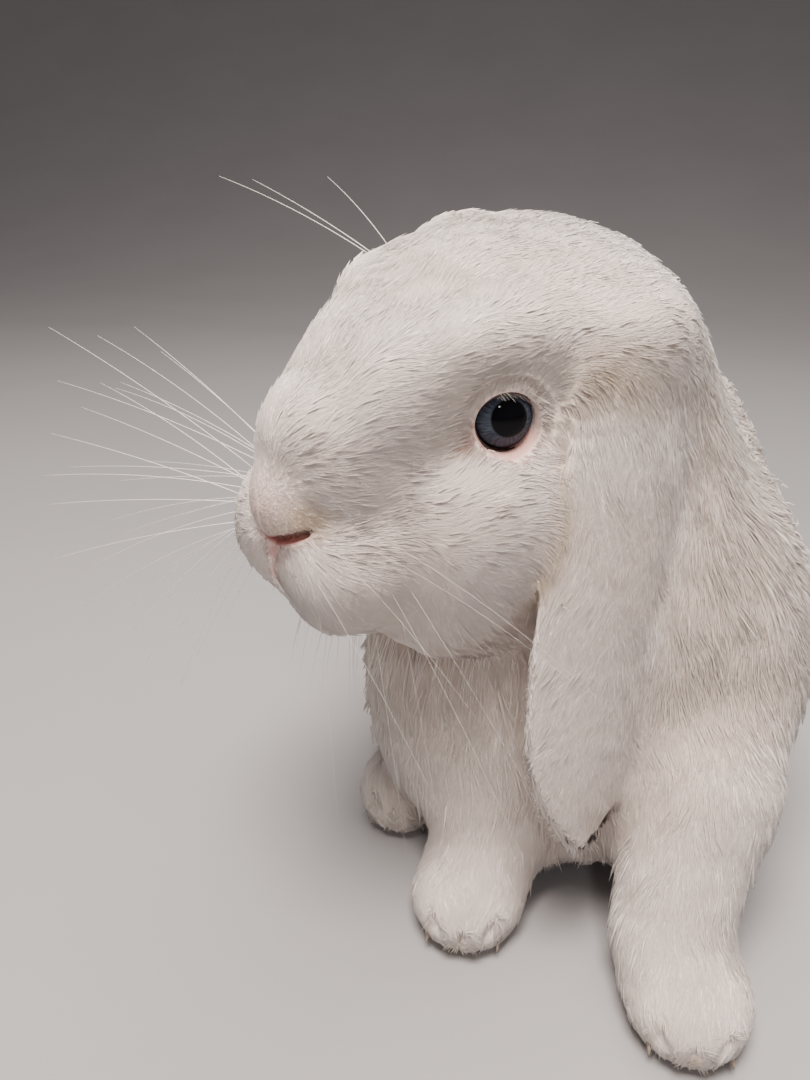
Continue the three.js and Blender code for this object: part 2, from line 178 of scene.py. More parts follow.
@dataclass(frozen=True)
class Rod:
    """A rod from one point to another whose radius changes evenly, sunk by the coat's depth."""

    start: Triple
    start_radius: float
    end: Triple
    end_radius: float
    coat: float = 0.0

    def distance(self, p: Array) -> Array:
        """The distance to the nearest point of the axis, less the radius there."""
        a = np.array(self.start, p.dtype)
        axis = np.array(self.end, p.dtype) - a
        t = np.clip((p - a) @ axis / (axis @ axis), 0, 1)
        radius = self.start_radius + (self.end_radius - self.start_radius) * t
        return length(p - a - t[..., None] * axis) - radius + self.coat


def joined(forms: Sequence[Blob | Rod], k: float, p: Array) -> Array:
    """The distance to several forms joined with fillets k wide."""
    total = forms[0].distance(p)
    for form in forms[1:]:
        total = soften(total, form.distance(p), k)
    return total


def both(make: Callable[[int], Blob | Rod]) -> list[Blob | Rod]:
    """The same form on the left, with 1, and on the right, with -1."""
    return [make(side.value) for side in Side]


# ------------------------------------------------------------------------------- the head's frame


@dataclass(frozen=True)
class HeadFrame:
    """The head's own axes: x to the nose, y to its left, z up, zero midway between the eyes."""

    place: Triple = (-42.0, 31.0, 150.0)
    turn: float = 40.0  # degrees to the rabbit's right
    nod: float = 2.0  # degrees, nose down
    tilt: float = 13.0  # degrees, left side down

    def basis(self) -> Array:
        """The axes as columns, in the body's frame."""
        level = np.array([[0.0, 1, 0], [-1, 0, 0], [0, 0, 1]])
        turn = Matrix.Rotation(-math.radians(self.turn), 3, "Z")
        nod = Matrix.Rotation(math.radians(self.nod), 3, "Y")
        tilt = Matrix.Rotation(-math.radians(self.tilt), 3, "X")
        return np.array(turn) @ level @ np.array(nod @ tilt)

    def to_body(self, v: Array) -> Array:
        """Points of the head's frame, in the body's."""
        return np.asarray(v, float) @ self.basis().T + np.array(self.place)

    def to_head(self, p: Array) -> Array:
        """Points of the body's frame, in the head's."""
        return (p - np.array(self.place, p.dtype)) @ self.basis().astype(p.dtype)

    def turned(self, v: Array) -> Array:
        """Directions of the head's frame, in the body's."""
        return np.asarray(v, float) @ self.basis().T


HEAD = HeadFrame()


@dataclass(frozen=True)
class EyeSize:
    """The eyeball, its optical axis and the opening of its lids, in the head's frame, left side."""

    centre: Triple = (-3.0, 18.4, -2.2)
    radius: float = 8.8
    gaze: Triple = (0.40, 0.87, 0.29)
    outlook: Triple = (0.507, 0.853, 0.12)
    half_width: float = 6.9
    half_height: float = 6.7
    shift: Pair = (-0.7, 0.1)  # of the opening, forwards and up
    skew: float = 0.08  # fuller towards the brow in front and the cheek behind
    iris: float = 54.0  # degrees off the axis
    pupil: float = 26.0
    bulge: float = 0.9  # of the cornea, in mm

    def middle(self, side: Side) -> Array:
        """The eyeball's centre in the head's frame."""
        return np.array(self.centre) * (1, side.value, 1)

    def window(self, side: Side) -> Array:
        """The lid opening's own axes as columns: forwards, up and outwards, in the head's frame."""
        out = unit(np.array(self.outlook) * (1, side.value, 1))
        up = unit(np.array((0.0, 0, 1)) - out * out[2])
        ahead = unit(np.array((1.0, 0, 0)) - out * out[0] - up * up[0])
        return np.stack([ahead, up, out], axis=1)

    def opening(self, q: Array, side: Side) -> tuple[Array, Array, Array]:
        """Where points of the head's frame lie about one eye's opening.

        Args:
            q: The points.
            side: Which eye.

        Returns:
            How far they are beyond the lids' margin, how high over the eye's middle, and how far
            out from it, all in mm along the window's axes.
        """
        offset = (q - self.middle(side).astype(q.dtype)) @ self.window(side).astype(q.dtype)
        u, v, w = np.moveaxis(offset, -1, 0)
        a, b = (u - self.shift[0]) / self.half_width, (v - self.shift[1]) / self.half_height
        return (np.sqrt(a * a + b * b - self.skew * a * b) - 1) * self.half_height, v, w

    def margin(
        self, side: Side, angle: Array, widen: Array | float = 0.0, rise: Array | float = 0.0
    ) -> Array:
        """Points of the lids' margin on the ball, in the head's frame.

        Args:
            side: Which eye.
            angle: Turns round the opening, 0 at the front and a quarter turn at the top.
            widen: Added to the opening's half sizes.
            rise: Added to the ball's radius.

        Returns:
            The points.
        """
        full = 1 / np.sqrt(1 - self.skew * np.cos(angle) * np.sin(angle))
        u = self.shift[0] + (self.half_width * full + widen) * np.cos(angle)
        v = self.shift[1] + (self.half_height * full + widen) * np.sin(angle)
        w = np.sqrt(np.maximum((self.radius + rise) ** 2 - u**2 - v**2, 1.0))
        return self.middle(side) + np.stack([u, v, w], axis=-1) @ self.window(side).T


EYE = EyeSize()
SOCKET_DEPTH = 14.0  # mm out from the eye's middle, where its opening ends
# The left nostril's slit, from its inner to its outer end, and which way it runs in, by the head's
# frame.
NOSTRIL = np.array(
    [
        (40.8, 0.4, -31.4),
        (41.3, 3.2, -29.7),
        (41.0, 5.3, -28.4),
        (40.2, 7.3, -27.1),
        (39.0, 9.0, -25.8),
        (37.4, 10.2, -24.7),
    ]
)
NOSTRIL_INWARDS = np.array((-0.8, -0.25, 0.3))
PACKED_EYE = (-2.5, 17.5, -1.5)  # the centre of the left eye's solid, in the head's frame


def row_shift() -> Array:
    """Where the body frame's origin is in the row frame, in mm, from the left eye's solid."""
    low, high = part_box("eye_left")
    packed = (np.array(low) + np.array(high)) / 2 / MM
    return packed - HEAD.to_body(np.array(PACKED_EYE))


SHIFT = row_shift()


def in_row(p: Array) -> Array:
    """Points of the body's frame in mm, as metres in the row frame."""
    return (p + SHIFT) * MM


def nostril(q: Array, side: Side, depth: float, radius: float) -> Array:
    """The distance to one nostril's slit, a bent rod thin at both ends.

    Args:
        q: Points in the head's frame.
        side: Which nostril.
        depth: How far the rod is pushed into the head.
        radius: Its radius at its thickest.

    Returns:
        The distances.
    """
    line = (NOSTRIL + NOSTRIL_INWARDS * depth) * (1, side.value, 1)
    radii = radius * (0.65 + 0.35 * np.sin(np.linspace(0.4, math.pi - 0.2, len(line))))
    spans = zip(line, radii, line[1:], radii[1:], strict=False)
    return np.min([Rod(tuple(a), ra, tuple(b), rb).distance(q) for a, ra, b, rb in spans], axis=0)


# ------------------------------------------------------------------------------- ears


@dataclass(frozen=True)
class Ear:
    """A drop-shaped flap that hangs along a curve, flat towards the head and bulging outwards."""

    side: Side
    tip: Triple
    width: float = 39.0
    thick: float = 8.0
    cup: float = 3.0
    fore: float = 2.0  # how much further its front edge reaches than its back edge, halved
    turn: float = 8.0  # degrees that its face turns to the front
    coat: float = 0.6
    root: Triple = (-27.0, 12.0, 6.0)  # these three in the head's frame, for the left ear
    crest: Triple = (-29.0, 30.0, 13.0)
    fall: Triple = (-30.0, 39.0, -1.0)
    stations: int = 28
    rounding: float = 0.78  # the share of its length where its end starts to close
    closing: float = 0.22  # the share that the end takes
    crowding: float = 1.15  # above 1, its widest part moves towards its tip

    def line(self) -> tuple[Array, Array, Array, Array]:
        """The centre line and its axes, in the body's frame.

        The line is a centripetal Catmull-Rom spline through five points, taken at even arc lengths.

        Returns:
            Points, unit tangents, unit vectors outwards from the head, and unit vectors across.
        """
        s = self.side.value
        root, crest, fall = (
            HEAD.to_body(np.array(v) * (1, s, 1)) for v in (self.root, self.crest, self.fall)
        )
        tip = np.array(self.tip)
        knots = np.array([root, crest, fall, fall + (tip - fall) * 0.7, tip])
        dense = catmull_rom(knots, 40)
        run = np.concatenate([[0], np.cumsum(length(np.diff(dense, axis=0)))])
        even = np.linspace(0, run[-1], self.stations)
        points = np.stack([np.interp(even, run, dense[:, i]) for i in range(3)], axis=1)
        along = unit(np.gradient(points, axis=0))
        ahead = HEAD.turned(np.array((1.0, 0, 0)))
        ahead = np.array(Matrix.Rotation(-math.radians(self.turn * s), 3, "Z")) @ ahead
        out = unit(np.cross(ahead, along)) * s
        return points, along, out, unit(np.cross(along, out))

    def local(self, p: Array) -> tuple[Array, Array, Array, Array]:
        """Where points lie along, across, out of and beyond the ends of the flap.

        Args:
            p: Points in the body's frame.

        Returns:
            The share of the length from root to tip, and the offsets across, outwards and along.
        """
        points, along, out, across = (a.astype(p.dtype) for a in self.line())
        starts, steps = points[:-1], np.diff(points, axis=0)
        best = np.full(len(p), np.inf, p.dtype)
        share = np.zeros(len(p), p.dtype)
        for i, (start, step) in enumerate(zip(starts, steps, strict=True)):
            t = np.clip((p - start) @ step / (step @ step), 0, 1)
            gap = length(p - start - t[:, None] * step)
            nearer = gap < best
            best = np.where(nearer, gap, best)
            share = np.where(nearer, (i + t) / len(starts), share)
        place = share * len(starts)
        spot = np.arange(self.stations)

        def mix(a: Array) -> Array:
            """One of the line's vectors at each point's place along it."""
            return np.stack([np.interp(place, spot, a[:, i]) for i in range(3)], axis=1)

        offset = p - mix(points)
        return share, dot(offset, mix(across)), dot(offset, mix(out)), dot(offset, mix(along))

    def distance(self, p: Array) -> Array:
        """Nearly the signed distance to the flap. Points far from it get a rough lower bound.

        Across the flap it is an ellipse, half-width by half-thickness, bent by the cup: a point a
        off the middle is moved in by cup (2a / width)^2. The ends close over as half ellipsoids.
        """
        points = self.line()[0].astype(p.dtype)
        low, high = points.min(0) - self.width / 2, points.max(0) + self.width / 2
        beyond = length(np.maximum(np.maximum(low - p, p - high), 0))
        near = beyond < 1
        result = beyond + 6
        t, a, b, e = self.local(p[near])
        closed = np.maximum((t - self.rounding) / self.closing, 0)
        rounded = np.sqrt(np.maximum(1 - closed**2, 0.03))
        turn = t**self.crowding
        spread = 0.5 + 0.5 * np.sin(math.pi * np.minimum(turn, 0.5 + 0.75 * (turn - 0.5)))
        half = (self.width / 2 + self.fore) * spread * rounded
        a = a - self.fore
        thick = self.thick / 2 * (1.1 - 0.3 * t) * np.maximum(rounded, 0.5)
        b = b + self.cup * (2 * a / self.width) ** 2
        k0 = np.sqrt((a / half) ** 2 + (b / thick) ** 2 + (e / 2) ** 2)
        k1 = np.sqrt((a / half**2) ** 2 + (b / thick**2) ** 2 + (e / 4) ** 2)
        result[near] = k0 * (k0 - 1) / np.maximum(k1, 1e-6) + self.coat
        return result


def catmull_rom(knots: Array, steps: int) -> Array:
    """Points along the centripetal Catmull-Rom spline through the knots.

    Each span is a cubic whose end slopes come from its neighbours, with knot intervals that are
    the square roots of the chords. The ends are carried on by one mirrored knot each.

    Args:
        knots: The points to pass through.
        steps: How many steps each span takes.

    Returns:
        The points, the first knot to the last.
    """
    ends = [2 * knots[0] - knots[1], *knots, 2 * knots[-1] - knots[-2]]
    t = np.linspace(0, 1, steps, endpoint=False)[:, None]
    spans = []
    for x0, x1, x2, x3 in zip(ends, ends[1:], ends[2:], ends[3:], strict=False):
        d0, d1, d2 = (math.sqrt(math.dist(a, b)) for a, b in ((x0, x1), (x1, x2), (x2, x3)))
        slope1 = ((x1 - x0) / d0 - (x2 - x0) / (d0 + d1) + (x2 - x1) / d1) * d1
        slope2 = ((x2 - x1) / d1 - (x3 - x1) / (d1 + d2) + (x3 - x2) / d2) * d1
        c2 = 3 * (x2 - x1) - 2 * slope1 - slope2
        c3 = 2 * (x1 - x2) + slope1 + slope2
        spans.append(x1 + slope1 * t + c2 * t**2 + c3 * t**3)
    return np.concatenate([*spans, knots[-1:]])


# ------------------------------------------------------------------------------- the body


@dataclass(frozen=True)
class Foot:
    """A paw: its place across, its toes' place from the front, and its size."""

    x: float
    toe: float
    long: float
    wide: float
    high: float
    coat: float = 0.6

    def distance(self, p: Array) -> Array:
        """A squashed ellipsoid over the toes and a tapered rod back to the heel."""
        half = self.wide / 2
        heel = self.toe + self.long - half * 0.8
        front = self.toe + half
        height = self.high / 2
        lift = height * 0.82
        forms = [
            Blob((self.x, front + 3, lift), (half, half + 3, height), self.coat),
            Rod((self.x, heel, lift), half * 0.78, (self.x, front, lift), half * 0.82, self.coat),
        ]
        paw = joined(forms, 5, p)
        for i in (-1, 0, 1):  # the clefts between the toes
            x = self.x + i * self.wide * 0.23
            back, tip = (x, front + 5, self.high), (x, self.toe - 1, self.high * 0.35)
            paw = carve(paw, Rod(back, 0.2, tip, 0.7).distance(p), 3)
        return paw


@dataclass(frozen=True)
class Body:
    """The whole rabbit as one distance field, sunk by the depth of its coat."""

    ears: tuple[Ear, Ear] = (
        Ear(Side.LEFT, (0.7, 16.0, 38.0)),
        Ear(Side.RIGHT, (-62.0, 88.0, 58.0)),
    )
    forefeet: tuple[Foot, Foot] = (
        Foot(26.5, -17, 40, 31, 21),
        Foot(-29, 7, 40, 31, 21),
    )
    hindfeet: tuple[Foot, Foot] = (
        Foot(51, 97, 97, 27, 25),
        Foot(-54, 49, 97, 27, 25),
    )
    belly: float = 8.0  # the lowest flesh over the floor, apart from the feet
    head_coat: float = 0.6  # the depth of the coat on the head
    nose_coat: float = 0.3
    detail: float = 14.0  # how far from the head's masses its finer forms are worked out

    def skull(self, q: Array) -> Array:
        """The head's main masses, in the head's frame."""
        c = self.head_coat
        masses = [
            Blob((-24, 0, 3), (33, 31, 29), c),  # the cranium
            Rod((-8, 0, 5), 23, (27, 0, -9), 15.5, c),  # the bridge
            Blob((-36, 0, 12), (24, 34, 19), c + 1),  # the nape
            Blob((21, 0, -51), (12, 13, 13), c),  # the chin
            Blob((26.5, 0, -37), (10.8, 9, 12), c),  # the middle of the lips
            *both(lambda s: Blob((10, 9 * s, -23), (17, 12, 15), c)),  # the snout's sides
            *both(lambda s: Rod((30.3, 8.4 * s, -16.3), 7, (17, 12.2 * s, -15), 7.5, c)),
            *both(lambda s: Blob((-9, 20 * s, -31), (31, 22, 29), c + 0.4)),  # the cheeks
            *both(lambda s: Blob((-6, 15 * s, -46), (27, 19, 22), c)),  # the jaw
            *both(lambda s: Blob((27, 10.8 * s, -36.5), (14.2, 14.4, 16.5), c - 0.2)),  # the pads
            *both(lambda s: Rod((-16, 20 * s, 15), 9.5, (5, 16.6 * s, 13.5), 8.5, c)),  # the brows
            *both(lambda s: Blob((9, 8 * s, 4), (18, 12, 13), c)),  # before the eyes
            *both(lambda s: Blob((15, 10.5 * s, -4), (14, 6.5, 9), c)),
            *both(lambda s: Blob((-32, 28 * s, 12), (17, 12, 14), c)),  # the ears' bases
        ]
        nose = [
            Blob((35.2, 0, -21), (9.3, 10.5, 11), self.nose_coat),
            Blob((34.5, 0, -25), (8.5, 9.5, 8.5), self.nose_coat),
        ]
        return soften(joined(masses, 8, q), joined(nose, 4, q), 3.5)

    def lids(self, d: Array, q: Array, side: Side) -> Array:
        """The head with one eye's socket: a thin shell over the ball, opened by an ellipse.

        Args:
            d: The head's distance so far.
            q: The points, in the head's frame.
            side: Which eye.

        Returns:
            The new distance.
        """
        s = side.value
        lid, gap = 1.0, 0.12  # the lids' thickness, and the ball's room in the socket
        off, v, w = EYE.opening(q, side)
        ball = length(q - EYE.middle(side).astype(q.dtype))
        d = soften(d, ball - EYE.radius - lid, 2.4)
        fold = np.exp(-(((off - 3.4) / 0.9) ** 2)) * smoothstep(-2, 3, v) * smoothstep(0, 3, w)
        puff = np.exp(-((off - 1.3) ** 2)) * smoothstep(0, 3, w)
        d = d + 0.6 * fold - 0.15 * puff
        d = carve(d, np.maximum(off, 1.5 - w), 0.9)
        corner = Rod((3.6, 23.0 * s, -7.2), 1.2, (8.6, 21.0 * s, -9.6), 0.5)
        d = carve(d, corner.distance(q), 1.0)
        return np.maximum(d, EYE.radius + gap - ball)

    def muzzle(self, d: Array, q: Array) -> Array:
        """The head with its nostrils, the cleft under them and the line of the mouth."""
        slit = 1.35  # half the slit's height
        for side in Side:
            for depth in (0.0, 1.3, 2.6):
                d = carve(d, nostril(q, side, depth, slit), 0.7)
        cuts = [
            Rod((40.3, 0, -32.5), 0.6, (38.2, 0, -43), 0.4),  # the lip's cleft
            *both(lambda s: Rod((37.6, 1.5 * s, -46), 0.3, (29, 11 * s, -51.5), 0.7)),  # the mouth
        ]
        for cut in cuts:
            d = carve(d, cut.distance(q), 1.2)
        return d

    def head(self, p: Array) -> Array:
        """The head with all that is carved in it. Points far from it get the plain masses."""
        q = HEAD.to_head(p)
        d = self.skull(q)
        near = np.abs(d) < self.detail
        fine, d_near = q[near], d[near]
        for side in Side:
            d_near = self.lids(d_near, fine, side)
        d[near] = self.muzzle(d_near, fine)
        return d

    def neck(self, p: Array) -> Array:
        """The neck."""
        return Rod((-2, 84, 104), 42, (-13, 60, 140), 38, 1.3).distance(p)

    def trunk(self, p: Array) -> Array:
        """Chest, brisket, ribs, rump and shoulders."""
        c = 1.5
        masses = [
            Blob((0, 62, 80), (45, 38, 56), c),  # the chest
            Blob((0, 54, 42), (36, 28, 38), c),  # the brisket
            Blob((0, 128, 76), (60, 76, 62), c),  # the ribs
            Blob((0, 186, 75), (66, 62, 67), c),  # the rump
            Blob((35, 75, 70), (26, 34, 44), c),  # the left shoulder
            Blob((-40, 68, 56), (26, 36, 50), c),  # the right shoulder
        ]
        return joined(masses, 16, p)

    def tail(self, p: Array) -> Array:
        """The upturned tail."""
        forms = [Blob((0, 252, 44), (19, 14, 24), 3.5), Blob((0, 244, 30), (22, 14, 18), 3.5)]
        return joined(forms, 8, p)

    def foreleg(self, side: Side, p: Array) -> Array:
        """One foreleg, from the shoulder to the wrist."""
        s = side.value
        foot = self.forefeet[0 if side is Side.LEFT else 1]
        wrist = foot.toe + 30
        elbow = (30 * s, wrist + 22, 44)
        forms = [
            Rod((36.5 * s, 70, 62), 22.5, elbow, 18, 1.3),
            Rod(elbow, 19, (foot.x - 4 * s, wrist, 16), 15, 1.0),
        ]
        return joined(forms, 8, p)

    def thigh(self, side: Side, p: Array) -> Array:
        """One thigh, with the knee at its front."""
        s = side.value
        foot = self.hindfeet[0 if side is Side.LEFT else 1]
        shift = (foot.toe - self.hindfeet[1].toe) / 2
        forms = [
            Blob((44 * s, 178 + shift * 0.4, 54), (31, 52, 48), 1.6),
            Rod((46 * s, 170 + shift, 46), 24, (49 * s, 128 + shift, 36), 19, 1.6),
        ]
        return joined(forms, 12, p)

    def distance(self, p: Array) -> Array:
        """The whole body, with the fillet at each joint that its flesh makes there."""
        d = soften(self.trunk(p), self.neck(p), 18)
        d = soften(d, self.tail(p), 6)
        for side in Side:
            d = soften(d, self.foreleg(side, p), 12)
            d = soften(d, self.thigh(side, p), 10)
        d = np.maximum(d, self.belly - p[:, 2])
        for foot in (*self.forefeet, *self.hindfeet):
            d = soften(d, foot.distance(p), 7)
        d = np.maximum(d, SKIN_CLEARANCE - p[:, 2])
        d = soften(d, self.head(p), 9)
        front = smoothstep(-32, -22, HEAD.to_head(p)[:, 0])
        for ear in self.ears:
            d = soften(d, ear.distance(p), 1.2 + 2.8 * front)
        return d


# ------------------------------------------------------------------------------- meshing


def slope(form: Field, p: Array, reach: float = 0.3) -> Array:
    """How fast a field rises along each axis, by central differences."""
    steps = np.eye(3) * reach
    return np.stack([(form(p + h) - form(p - h)) / (2 * reach) for h in steps], axis=1)


def settled(form: Field, p: Array, reach: float, rounds: int = 2) -> Array:
    """Points moved onto the surface along the field's slope, by at most reach in each round."""
    for _ in range(rounds):
        rise = slope(form, p)
        move = form(p) / np.maximum(dot(rise, rise), 0.2)
        p = p - np.clip(move, -reach, reach)[:, None] * rise
    return p


def laid(form: Field, p: Array, n: Array, high: Array) -> tuple[Array, Array]:
    """Points brought to a height over the skin, and the skin's normals below them.

    Args:
        form: The body's distance field.
        p: The points.
        n: The directions that they may move along.
        high: The heights wanted.

    Returns:
        The moved points and the normals.
    """
    lowest, highest = -1.0, 2.5  # mm that a point may be moved
    p, n = p.astype(np.float32), n.astype(np.float32)
    move = np.clip(high.ravel().astype(np.float32) - form(p), lowest, highest)
    p = p + n * move[:, None]
    level = form(p)
    rise = [form(p + step) - level for step in np.eye(3, dtype=np.float32)]
    return p, unit(np.stack(rise, axis=1))


def stretches(*spans: Triple) -> Array:
    """Grid planes along one axis: from, to and step of each stretch, one after the other."""
    planes = [
        np.linspace(a, b, max(round((b - a) / step), 1), endpoint=False) for a, b, step in spans
    ]
    return np.concatenate([*planes, [spans[-1][1]]])


def surface_net(form: Field, planes: tuple[Array, Array, Array]) -> tuple[Array, Array]:
    """The surface where a field is zero, as triangles, by surface nets.

    Each grid cell that the surface crosses gets one point, the mean of where it crosses the cell's
    edges. Each grid edge that it crosses gets one face, through the four cells round the edge.

    Args:
        form: The field.
        planes: The grid's planes along each axis.

    Returns:
        The points, and the triangles as indices into them.
    """
    grid = np.stack(np.meshgrid(*planes, indexing="ij"), axis=-1).astype(np.float32)
    shape = grid.shape[:3]
    value = np.concatenate([form(slab.reshape(-1, 3)).reshape(1, *shape[1:]) for slab in grid])
    inside = value < 0
    corners = np.array([(i, j, k) for i in (0, 1) for j in (0, 1) for k in (0, 1)])
    held = sum(
        inside[i : shape[0] - 1 + i, j : shape[1] - 1 + j, k : shape[2] - 1 + k].astype(np.int8)
        for i, j, k in corners
    )
    crossed = (held > 0) & (held < 8)
    cells = np.argwhere(crossed)
    number = np.full(crossed.shape, -1)
    number[crossed] = np.arange(len(cells))
    total, count = np.zeros((len(cells), 3)), np.zeros(len(cells))
    for a in corners:
        for axis in range(3):
            if a[axis]:
                continue
            b = a.copy()
            b[axis] = 1
            start, end = tuple((cells + a).T), tuple((cells + b).T)
            va, vb = value[start], value[end]
            cut = inside[start] != inside[end]
            t = np.where(cut, va / np.where(cut, va - vb, 1), 0)[:, None]
            total += np.where(cut[:, None], grid[start] * (1 - t) + grid[end] * t, 0)
            count += cut
    faces = [edge_faces(inside, number, axis) for axis in range(3)]
    return total / count[:, None], np.concatenate(faces)


def edge_faces(inside: Array, number: Array, axis: int) -> Array:
    """Two triangles for each grid edge along one axis that the surface crosses.

    Args:
        inside: Whether each grid point is inside.
        number: The point of each cell.
        axis: The edges' axis.

    Returns:
        The triangles, facing outwards.
    """
    lower = np.moveaxis(inside, axis, 0)[:-1]
    upper = np.moveaxis(inside, axis, 0)[1:]
    spots = np.argwhere(lower[:, 1:-1, 1:-1] != upper[:, 1:-1, 1:-1]) + (0, 1, 1)
    leaving = lower[tuple(spots.T)]
    cell = np.moveaxis(number, axis, 0)
    first, second = (1, 2) if axis != 1 else (2, 1)
    at = np.zeros(3, int)
    ring = []
    for a, b in ((0, 0), (1, 0), (1, 1), (0, 1)):
        at[:] = 0
        at[first], at[second] = a, b
        ring.append(cell[tuple((spots - at).T)])
    c0, c1, c2, c3 = ring
    c1, c3 = np.where(leaving, c1, c3), np.where(leaving, c3, c1)
    return np.concatenate([np.stack([c0, c1, c2], 1), np.stack([c0, c2, c3], 1)])


def refined(points: Array, faces: Array, fine: Array) -> tuple[Array, Array]:
    """A triangle mesh with each edge halved whose two ends are both marked.

    Args:
        points: The points.
        faces: The triangles.
        fine: Whether each point is marked.

    Returns:
        The new points and triangles. A triangle with one halved edge becomes two, with three four.
    """
    edges = np.sort(faces[:, [[0, 1], [1, 2], [2, 0]]], axis=2)
    key = edges[..., 0] * len(points) + edges[..., 1]
    unique, inverse = np.unique(key, return_inverse=True)
    a, b = unique // len(points), unique % len(points)
    halved = fine[a] & fine[b]
    middle = np.where(halved, len(points) + np.cumsum(halved) - 1, -1)[inverse].reshape(-1, 3)
    count = (middle >= 0).sum(axis=1)
    whole = faces[count == 0]
    one, split = faces[count == 1], middle[count == 1]
    turn = (np.argmax(split >= 0, axis=1)[:, None] + np.arange(3)) % 3
    one = np.take_along_axis(one, turn, 1)
    half = split.max(axis=1)
    f, m = faces[count == 3], middle[count == 3]
    parts = [
        whole,
        np.stack([one[:, 0], half, one[:, 2]], 1),
        np.stack([half, one[:, 1], one[:, 2]], 1),
        np.stack([f[:, 0], m[:, 0], m[:, 2]], 1),
        np.stack([m[:, 0], f[:, 1], m[:, 1]], 1),
        np.stack([m[:, 2], m[:, 1], f[:, 2]], 1),
        m,
    ]
    return np.concatenate([points, (points[a] + points[b])[halved] / 2]), np.concatenate(parts)


def mesh_piece(name: str, points: Array, faces: Array, smooth: bool = True) -> bpy.types.Object:
    """A new mesh object with its place in its mesh, riding on the root body.

    Args:
        name: The piece's name.
        points: Its points, in metres in the row frame.
        faces: Its faces, all with the same number of corners.
        smooth: Whether it is shaded smooth.

    Returns:
        The object.
    """
    mesh = bpy.data.meshes.new(name)
    sides = faces.shape[1]
    mesh.vertices.add(len(points))
    mesh.vertices.foreach_set("co", points.astype(np.float32).ravel())
    mesh.loops.add(faces.size)
    mesh.loops.foreach_set("vertex_index", faces.astype(np.int32).ravel())
    mesh.polygons.add(len(faces))
    mesh.polygons.foreach_set("loop_start", np.arange(0, faces.size, sides, dtype=np.int32))
    mesh.polygons.foreach_set("loop_total", np.full(len(faces), sides, np.int32))
    mesh.update(calc_edges=True)
    mesh.polygons.foreach_set("use_smooth", np.full(len(faces), smooth))
    mesh.validate()
    piece = bpy.data.objects.new(name, mesh)
    bpy.context.scene.collection.objects.link(piece)
    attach(piece, ROOT_BODY)
    log.info("%s: %d faces", name, len(faces))
    return piece


def add_attribute(piece: bpy.types.Object, name: str, values: Array) -> None:
    """Stores one number for each point of a piece."""
    attribute = piece.data.attributes.new(name, "FLOAT", "POINT")
    attribute.data.foreach_set("value", values.astype(np.float32))


def add_uv(piece: bpy.types.Object, name: str, uv: Array) -> None:
    """Stores a UV map given by points: each corner takes its point's place."""
    layer = piece.data.uv_layers.new(name=name)
    corner = np.zeros(len(piece.data.loops), np.int32)
    piece.data.loops.foreach_get("vertex_index", corner)
    layer.data.foreach_set("uv", uv[corner].astype(np.float32).ravel())


# ------------------------------------------------------------------------------- finishes


